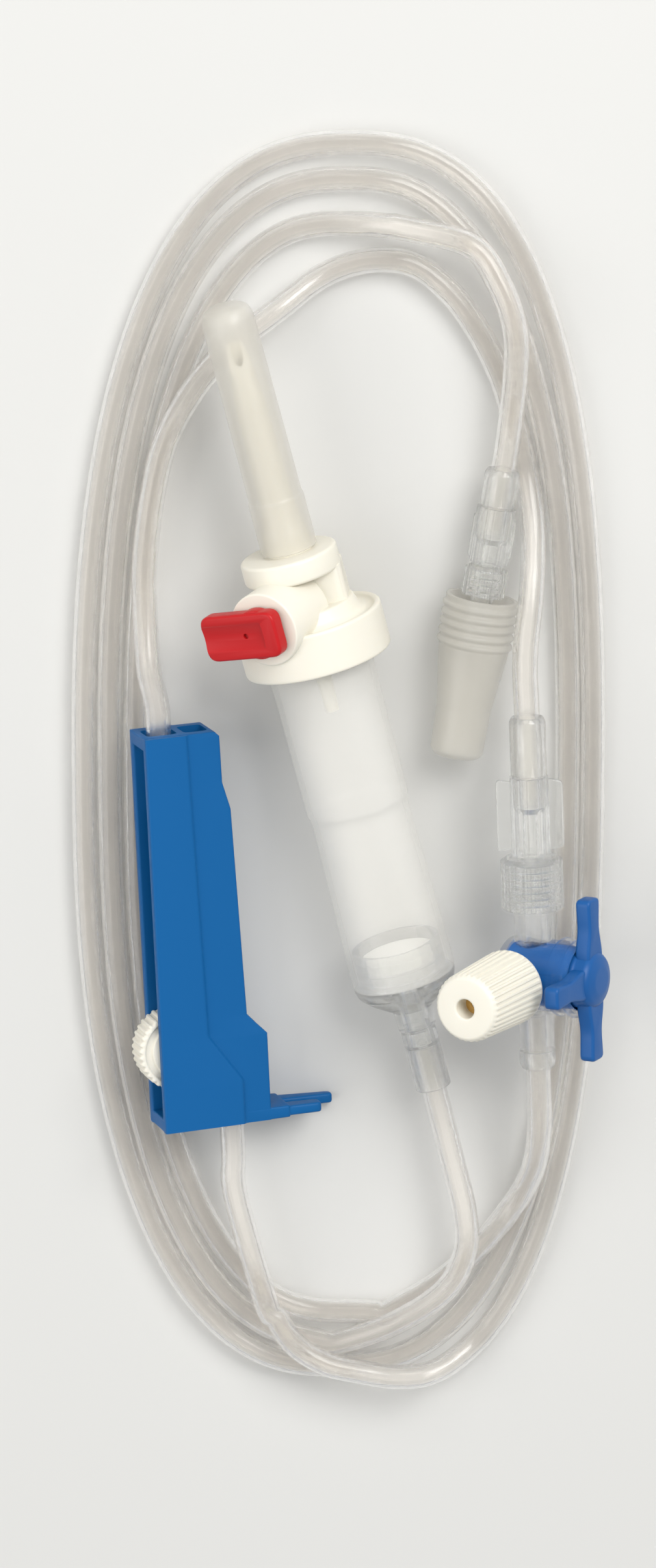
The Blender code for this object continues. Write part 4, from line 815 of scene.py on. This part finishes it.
# %% Spike housing: cup, neck and flange
SHOULDER = [(12, 0.3), (12, 7.0), (11.7, 7.3), (11.1, 7.3), (10.5, 6.7), (9.6, 6.7), (8.7, 7.4), (8.0, 9.4)]
cup = [(0, 3.4), (10.85, 3.4), (10.85, 0), (11.8, 0)] + SHOULDER + [(0, 9.4)]
housing = solid("spike_housing", *turned_mesh(eased(cup, 0.4, 5), 128))
neck_outline = rounded([(-7.7, -4.2), (-4.0, -4.96), (6.2, -4.96), (6.2, 3.84), (-7.2, 3.84)], 1.6)
housing_parts = [solid("neck", *slab(neck_outline, 3.8, 15.2, 0.2))]
flange_arc = np.radians(np.linspace(-62, 242, 60))
flange_outline = np.column_stack([0.4 + 7.9 * np.cos(flange_arc), 8.2 * np.sin(flange_arc)])
housing_parts.append(solid("flange", *slab(flange_outline, 14.6, 18.4, 0.6, 5)))
print("cup, neck and flange made")

# %% [markdown]
# The spike has a wider root that the sheath grips and a taper for the bag's port, and is turned like the
# cup. The vent's boss stands off the neck at an angle. It could be placed by trial, but the vent has a
# frame of its own, so the boss is drawn there and carried into the housing's frame.

# %% Spike housing: spike and boss
SPIKE_TIP = 53.5
shaft = [(0, 15.6), (3.7, 15.6), (3.65, 21.7), (3.2, 22.5), (2.75, 27.0), (2.45, 43.5), (1.7, 51.0),
         (1.25, SPIKE_TIP), (0, SPIKE_TIP)]
housing_parts.append(solid("shaft", *turned_mesh(eased(shaft, 0.3), 64)))
BOSS = Matrix(CHAMBER.inverted() @ VENT)
boss_profile = [(0, -10.6), (6.1, -10.6), (6.1, 0), (0, 0)]
housing_parts.append(solid("boss", *turned_mesh(eased(boss_profile, 0.35, 5), 96), BOSS))
combine(housing, housing_parts, "UNION")
print("housing joined", len(housing.data.polygons), "faces")

# %% [markdown]
# The openings are cut last, when the solid is whole: the vent's stepped hole with room for its filter, the
# slope of the spike's point, the fluid's way down the middle, and the small three sided pocket in the neck.
# Drawing them into each form would be harder, because they cross from one to another.

# %% Spike housing: openings
vent_hole = [(0, -8.4), (1.0, -8.4), (1.0, -4.2), (3.6, -4.2), (3.6, 1.0), (0, 1.0)]
slope_box = slab([(-8, 0), (8, 0), (8, 12), (-8, 12)], -20, 20, 0.1, 2)
SLOPE = math.atan2(4.4, 11.0)
slope_place = Matrix.Translation(Vector((0, -0.6, SPIKE_TIP)) * MM) @ Matrix.Rotation(SLOPE, 4, "X")
pocket = slab([(2.2, -1.4), (4.6, -1.4), (4.6, 1.6)], 2.2, 6.2, 0.1, 2)
pocket_place = Matrix.Translation(Vector((0, 0, 11.6)) * MM) @ Matrix.Rotation(math.radians(-90), 4, "X")
openings = [solid("vent", *turned_mesh(vent_hole, 60), BOSS), solid("slope", *slope_box, slope_place),
            solid("way", *turned_mesh([(0, -1), (0.9, -1), (0.9, 58), (0, 58)], 24)),
            solid("pocket", *pocket, pocket_place)]
combine(housing, openings, "DIFFERENCE")
finished(laid(housing, CHAMBER), IVORY, "set", "spike_body")

# %% [markdown]
# The red cap shuts the vent: a tab to lift, with a plug under one end. A wide shallow hollow runs along its
# top for the fingertip. It could be modelled into the plate, but a drum laid along the tab cuts the same
# hollow in one step. A small dimple near the middle is cut with it.

# %% Vent cap
tab = rounded([(4.2, -3.8), (4.2, 3.8), (-9.9, 3.8), (-9.9, -3.8)], 1.9, 7)
red_cap = solid("vent_cap_piece", *slab(tab, 0.3, 2.9, 0.5, 6))
rim = solid("rim", *drum(4.1, 0.3, 2.45, 64, 0.3))
plug = solid("plug", *drum(3.0, -1.4, 0.9, 64, 0.3))
combine(red_cap, [rim, plug], "UNION")
trough_place = Matrix.Translation(Vector((0, 0, 7.75)) * MM) @ Matrix.Rotation(math.radians(90), 4, "Y")
trough = solid("trough", *drum(5.4, -12.0, 1.7, 96, 0.5), trough_place)
dimple = solid("dimple", *drum(0.45, 1.8, 4.0, 24, 0.1), Matrix.Translation((-2.0 * MM, 0, 0)))
combine(red_cap, [trough, dimple], "DIFFERENCE")
finished(laid(red_cap, VENT), RED, "vent_plug", "vent_cap")

# %% [markdown]
# The stopcock's barrel is clear, with two lips at the handle's end. Three ports leave it, two of them with
# a lug ring near the end. It could be one mesh with smooth branches, but the real moulding has crisp joints
# there, so each port is a turned solid, swung round to its side and joined.

# %% Stopcock: barrel and ports
BARREL_R = 5.9
BARREL_BORE = 5.1
LIP_R = 6.5
PORT_FOOT = 4.9
ALONG_X = Matrix.Rotation(math.radians(90), 4, "Y")
TO_LINE = Matrix.Rotation(math.radians(-90), 4, "X")
TO_SIDE = Matrix.Identity(4)
TO_OUT = Matrix.Rotation(math.radians(90), 4, "X")
barrel = [(BARREL_BORE, -3.4), (0, -3.4), (0, -4.6), (5.4, -4.6), (BARREL_R, -4.1)]
for start in (5.0, 7.5):
    barrel += [(BARREL_R, start), (LIP_R, start + 0.2), (LIP_R, start + 0.8), (BARREL_R, start + 1.0)]
barrel += [(BARREL_R, 8.6), (BARREL_BORE, 8.6)]
stopcock = solid("stopcock_piece", *turned_mesh(eased(barrel, 0.15), 96), ALONG_X)


def port(name, radius, length, turn, lug=None):
    """A round port from just within the barrel's bore outwards, with or without a lug ring near its end."""
    profile = [(0, PORT_FOOT), (radius, PORT_FOOT), (radius, length), (0, length)]
    if lug:
        profile[2:2] = [(radius, length - 2), (lug, length - 1.6), (lug, length - 0.4)]
    return solid(name, *turned_mesh(eased(profile, 0.2), 80), turn)


ports = [port("line", 3.2, 18.4, TO_LINE, 3.85), port("side", 3.2, 14.2, TO_SIDE, 3.85),
         port("out", 2.95, 12.5, TO_OUT)]
combine(stopcock, ports, "UNION")
print("barrel and ports joined", len(stopcock.data.polygons), "faces")

# %% [markdown]
# The ports are bored through the barrel's wall. On the real object the plug fills the barrel, and its blue
# shows through the clear wall. Here 0.3 mm is left between them, so that the handle can turn without
# touching, and a bare gap would show as a dark line. So the barrel's inner faces carry the plug's blue,
# with painted light: a lighter blue than the handle's, to make up for the shade of the clear wall.

# %% Stopcock: bores and the blue within


def bore(name, radius, low, high, turn):
    """A plain cylinder that cuts a way."""
    return solid(name, *turned_mesh([(0, low), (radius, low), (radius, high), (0, high)], 48), turn)


def on_plug(place):
    """The barrel's inner faces, which carry the plug's blue lightened as painted light."""
    return math.hypot(place.y, place.z) < 5.3 and -3.7 < place.x < 8.7


bores = [bore("line", 2.1, 3.75, 19.4, TO_LINE), bore("side", 2.1, 3.75, 15.2, TO_SIDE),
         bore("out", 2.35, 6.5, 13.5, TO_OUT), bore("way", 1.3, 3.75, 7.5, TO_OUT)]
combine(stopcock, bores, "DIFFERENCE")
finished(laid(stopcock, STOPCOCK), BARREL, "set", "stopcock_body")
# The barrel's inner faces get the plug's blue, lightened as painted light against the clear wall's shade.
tinted(stopcock, STOPCOCK, PLUG_BLUE_PAINTED_LIGHT, on_plug)

# %% [markdown]
# The handle and its plug are one blue moulding. It has three arms, one for each port, and the plug is
# crossed by a way with a branch. Each arm could be drawn on its own, but they are alike, so one waisted
# plate is turned three times.

# %% Stopcock: handle
PLUG_R = 4.8
PLUG_WAY = 1.3
hub = [(0, -3.1), (PLUG_R, -3.1), (PLUG_R, 8.9), (4.6, 9.15), (4.6, 11.05), (3.96, 11.75), (2.3, 12.25),
       (0, 12.3)]
handle = solid("tap_handle_piece", *turned_mesh(eased(hub, 0.35, 4), 96))
arm_outline = rounded([(0, -2.5), (4.6, -2.5), (8.4, -1.6), (13.5, -1.95), (13.5, 1.95), (8.4, 1.6),
                       (4.6, 2.5), (0, 2.5)], 1.1)
arms = [solid("arm", *slab(arm_outline, 8.7, 11.3, 0.5, 5), Matrix.Rotation(math.radians(angle), 4, "Z"))
        for angle in (90, 180, 270)]
combine(handle, arms, "UNION")
branch_turn = Matrix.Rotation(math.radians(-90), 4, "Y")
plug_ways = [bore("across", PLUG_WAY, -6, 6, TO_LINE), bore("branch", PLUG_WAY, 0, 6, branch_turn)]
combine(handle, plug_ways, "DIFFERENCE")
finished(laid(handle, STOPCOCK @ ALONG_X), TAP, "tap_handle", "stopcock_handle")

# %% [markdown]
# The clamp's shell is a U section: two walls and a back. The back is stepped, a ramp inside comes nearer to
# the roller towards the top, and a raised band on each wall narrows towards the top. A box would need many
# cuts for that. Here the section is a function of the length, and the shell is that section carried along
# it.

# %% Roller clamp: shell
CLAMP_LENGTH = 66.0
WALL_OUT, WALL_IN = 4.25, 2.95
BAND_LIFT = 0.45
BACK_Y = [0.0, 14.8, 16.6, 18.4, 53.0, 57.5, 65.2, CLAMP_LENGTH]
BACK_X = [18.2, 18.2, 16.5, 14.9, 13.9, 12.7, 12.6, 11.8]
RAMP_Y = [0.0, 13.2, 51.2, CLAMP_LENGTH]
RAMP_X = [15.0, 15.0, 10.7, 10.7]
BAND_Y = [0.0, 7.5, 15.5, CLAMP_LENGTH]
BAND_X = [13.4, 13.4, 7.9, 6.8]


def u_section(y):
    """The shell's outline (x, z) at a length y: back, ramp and band each follow their own broken line."""
    back = np.interp(y, BACK_Y, BACK_X)
    ramp = np.interp(y, RAMP_Y, RAMP_X)
    band = np.interp(y, BAND_Y, BAND_X)
    raised = WALL_OUT + BAND_LIFT
    side = [(0, raised), (band, raised), (band + BAND_LIFT, WALL_OUT), (back, WALL_OUT)]
    corners = side + [(x, -z) for x, z in reversed(side)]
    corners += [(0, -WALL_IN), (ramp, -WALL_IN), (ramp, WALL_IN), (0, WALL_IN)]
    return rounded(corners, 0.35, 4)


evenly = np.linspace(0.05, CLAMP_LENGTH - 0.05, 140)
stations = np.unique(np.concatenate([evenly, np.array(BACK_Y[1:-1])]))
sections = np.array([u_section(y) for y in stations])
count = sections.shape[1]
lengths = np.repeat(stations[:, None, None], count, axis=1)
shell_points = np.concatenate([sections[..., :1], lengths, sections[..., 1:]], axis=-1)
shell_faces = loop_faces(len(stations), count)
shell_faces += [list(range(count)), [(len(stations) - 1) * count + k for k in range(count)][::-1]]
clamp = solid("clamp_shell", shell_points.reshape(-1, 3) * MM, shell_faces)
print("clamp shell", len(stations), "sections of", count, "points")

# %% [markdown]
# Both ends of the channel are closed by plates. The flange at the foot runs out into two prongs, where the
# line can be parked. They could be drawn into the section, but they lie across it, so they are plates,
# drawn in x and z, stood on end and joined. The lower prong narrows towards its end, so that it stays above
# the table.

# %% Roller clamp: end plates and prongs
top_plate = rounded([(0, -4.2), (11.9, -4.2), (11.9, 4.2), (0, 4.2)], 0.5)
foot_plate = rounded([(0, -4.2), (18.2, -4.2), (18.2, 4.2), (0, 4.2)], 0.5)
flange = rounded([(0, -4.5), (21.6, -4.2), (21.6, 4.2), (0, 4.5)], 0.6)
PRONGS = ([(20.2, 0.8), (27.0, 1.5), (27.0, 4.2), (20.2, 4.0)],
          [(20.2, -3.9), (30.2, -2.0), (30.2, -0.1), (20.2, -0.8)])
plates = [solid("top plate", *slab(top_plate, 63.8, CLAMP_LENGTH, 0.3), ON_END),
          solid("foot plate", *slab(foot_plate, 0.0, 2.2, 0.3), ON_END),
          solid("flange", *slab(flange, 0.02, 2.02, 0.3), ON_END)]
plates += [solid("prong", *slab(rounded(corners, 0.9, 6), 0.2, 1.85, 0.4), ON_END) for corners in PRONGS]
combine(clamp, plates, "UNION")
print("clamp with its plates", len(clamp.data.polygons), "faces")

# %% [markdown]
# Four openings are cut last: the tube's way in at the top and out at the foot, a pocket beside the top way,
# and the grooves for the roller's trunnions. The two grooves could be cut one by one, but a single block
# that reaches into both walls cuts them both, so they can't drift apart.

# %% Roller clamp: openings
HALF_WAY = 2.45
top_way = rounded([(1.0, -HALF_WAY), (6.1, -HALF_WAY), (6.1, HALF_WAY), (1.0, HALF_WAY)], 0.9)
top_pocket = rounded([(7.2, -HALF_WAY), (11.2, -HALF_WAY), (11.2, HALF_WAY), (7.2, HALF_WAY)], 0.9)
foot_way = rounded([(10.0, -HALF_WAY), (15.1, -HALF_WAY), (15.1, HALF_WAY), (10.0, HALF_WAY)], 2.0)
groove = rounded([(2.05, 11.3), (4.95, 11.3), (4.95, 52.8), (2.05, 52.8)], 1.2)
openings = [solid("top way", *slab(top_way, 62.8, 67.0, 0.05, 2), ON_END),
            solid("top pocket", *slab(top_pocket, 62.8, 67.0, 0.05, 2), ON_END),
            solid("foot way", *slab(foot_way, -1.0, 3.2, 0.05, 2), ON_END),
            solid("groove", *slab(groove, -3.7, 3.7, 0.1, 2))]
combine(clamp, openings, "DIFFERENCE")
finished(laid(clamp, CLAMP), BLUE, "set", "clamp_body")

# %% [markdown]
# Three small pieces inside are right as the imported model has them: the drop former and the two filters.
# They could be drawn again, but little of them is seen, so they only get a finish, ivory and felt.

# %% Finishes of the carried-over pieces
CARRIED_OVER = {"drop_former": IVORY, "vent_filter": FILTER, "fluid_filter": FILTER}
for name, material in CARRIED_OVER.items():
    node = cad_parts[name]
    node.data.materials.clear()
    node.data.materials.append(material)
print("dressed", len(CARRIED_OVER), "carried-over nodes")

# %% [markdown]
# The table is a plain pale sheet, far wider than the picture. A curved backdrop would hide its edge, but
# the set is also looked at from other sides, where it would stand in the way.

# %% Floor
REACH = 3.0
FLOOR_COLOR = (0.6, 0.592, 0.565, 1)
floor_mesh = bpy.data.meshes.new("floor")
floor_corners = [(-REACH, -REACH, 0), (REACH, -REACH, 0), (REACH, REACH, 0), (-REACH, REACH, 0)]
floor_mesh.from_pydata(floor_corners, [], [(0, 1, 2, 3)])
floor_material = bpy.data.materials.new("floor")
floor_material.use_nodes = True
floor_shader = floor_material.node_tree.nodes["Principled BSDF"]
floor_shader.inputs["Base Color"].default_value = FLOOR_COLOR
floor_shader.inputs["Roughness"].default_value = 0.85
floor_mesh.materials.append(floor_material)
floor = bpy.data.objects.new("floor", floor_mesh)
bpy.context.scene.collection.objects.link(floor)
print("floor", 2 * REACH, "m wide")

# %% [markdown]
# White and clear plastic has little colour of its own and shows mostly light, so the light is broad and
# even: a pale sky and three large lamps. A small lamp would burn out the ivory and draw hard lines on the
# tube. The Standard view keeps the blues and the red as strong as they are in the picture.

# %% Light
LAMPS = {"key": ((0.45, 0.6, 0.85), 0.6, 10.0), "fill": ((-0.75, -0.05, 0.7), 0.7, 4.0),
         "back": ((-0.2, 0.9, 0.8), 0.5, 2.0)}
world = bpy.data.worlds.new("soft world")
world.use_nodes = True
world.node_tree.nodes["Background"].inputs["Color"].default_value = (0.95, 0.97, 1.0, 1)
world.node_tree.nodes["Background"].inputs["Strength"].default_value = 0.6
bpy.context.scene.world = world
bpy.context.scene.view_settings.view_transform = "Standard"
for name, (place, size, power) in LAMPS.items():
    lamp = bpy.data.lights.new(name, "AREA")
    lamp.energy = power
    lamp.size = size
    light = bpy.data.objects.new(name, lamp)
    light.location = place
    light.rotation_euler = (-Vector(place)).to_track_quat("-Z", "Y").to_euler()
    bpy.context.scene.collection.objects.link(light)
print("lamps", sorted(LAMPS))
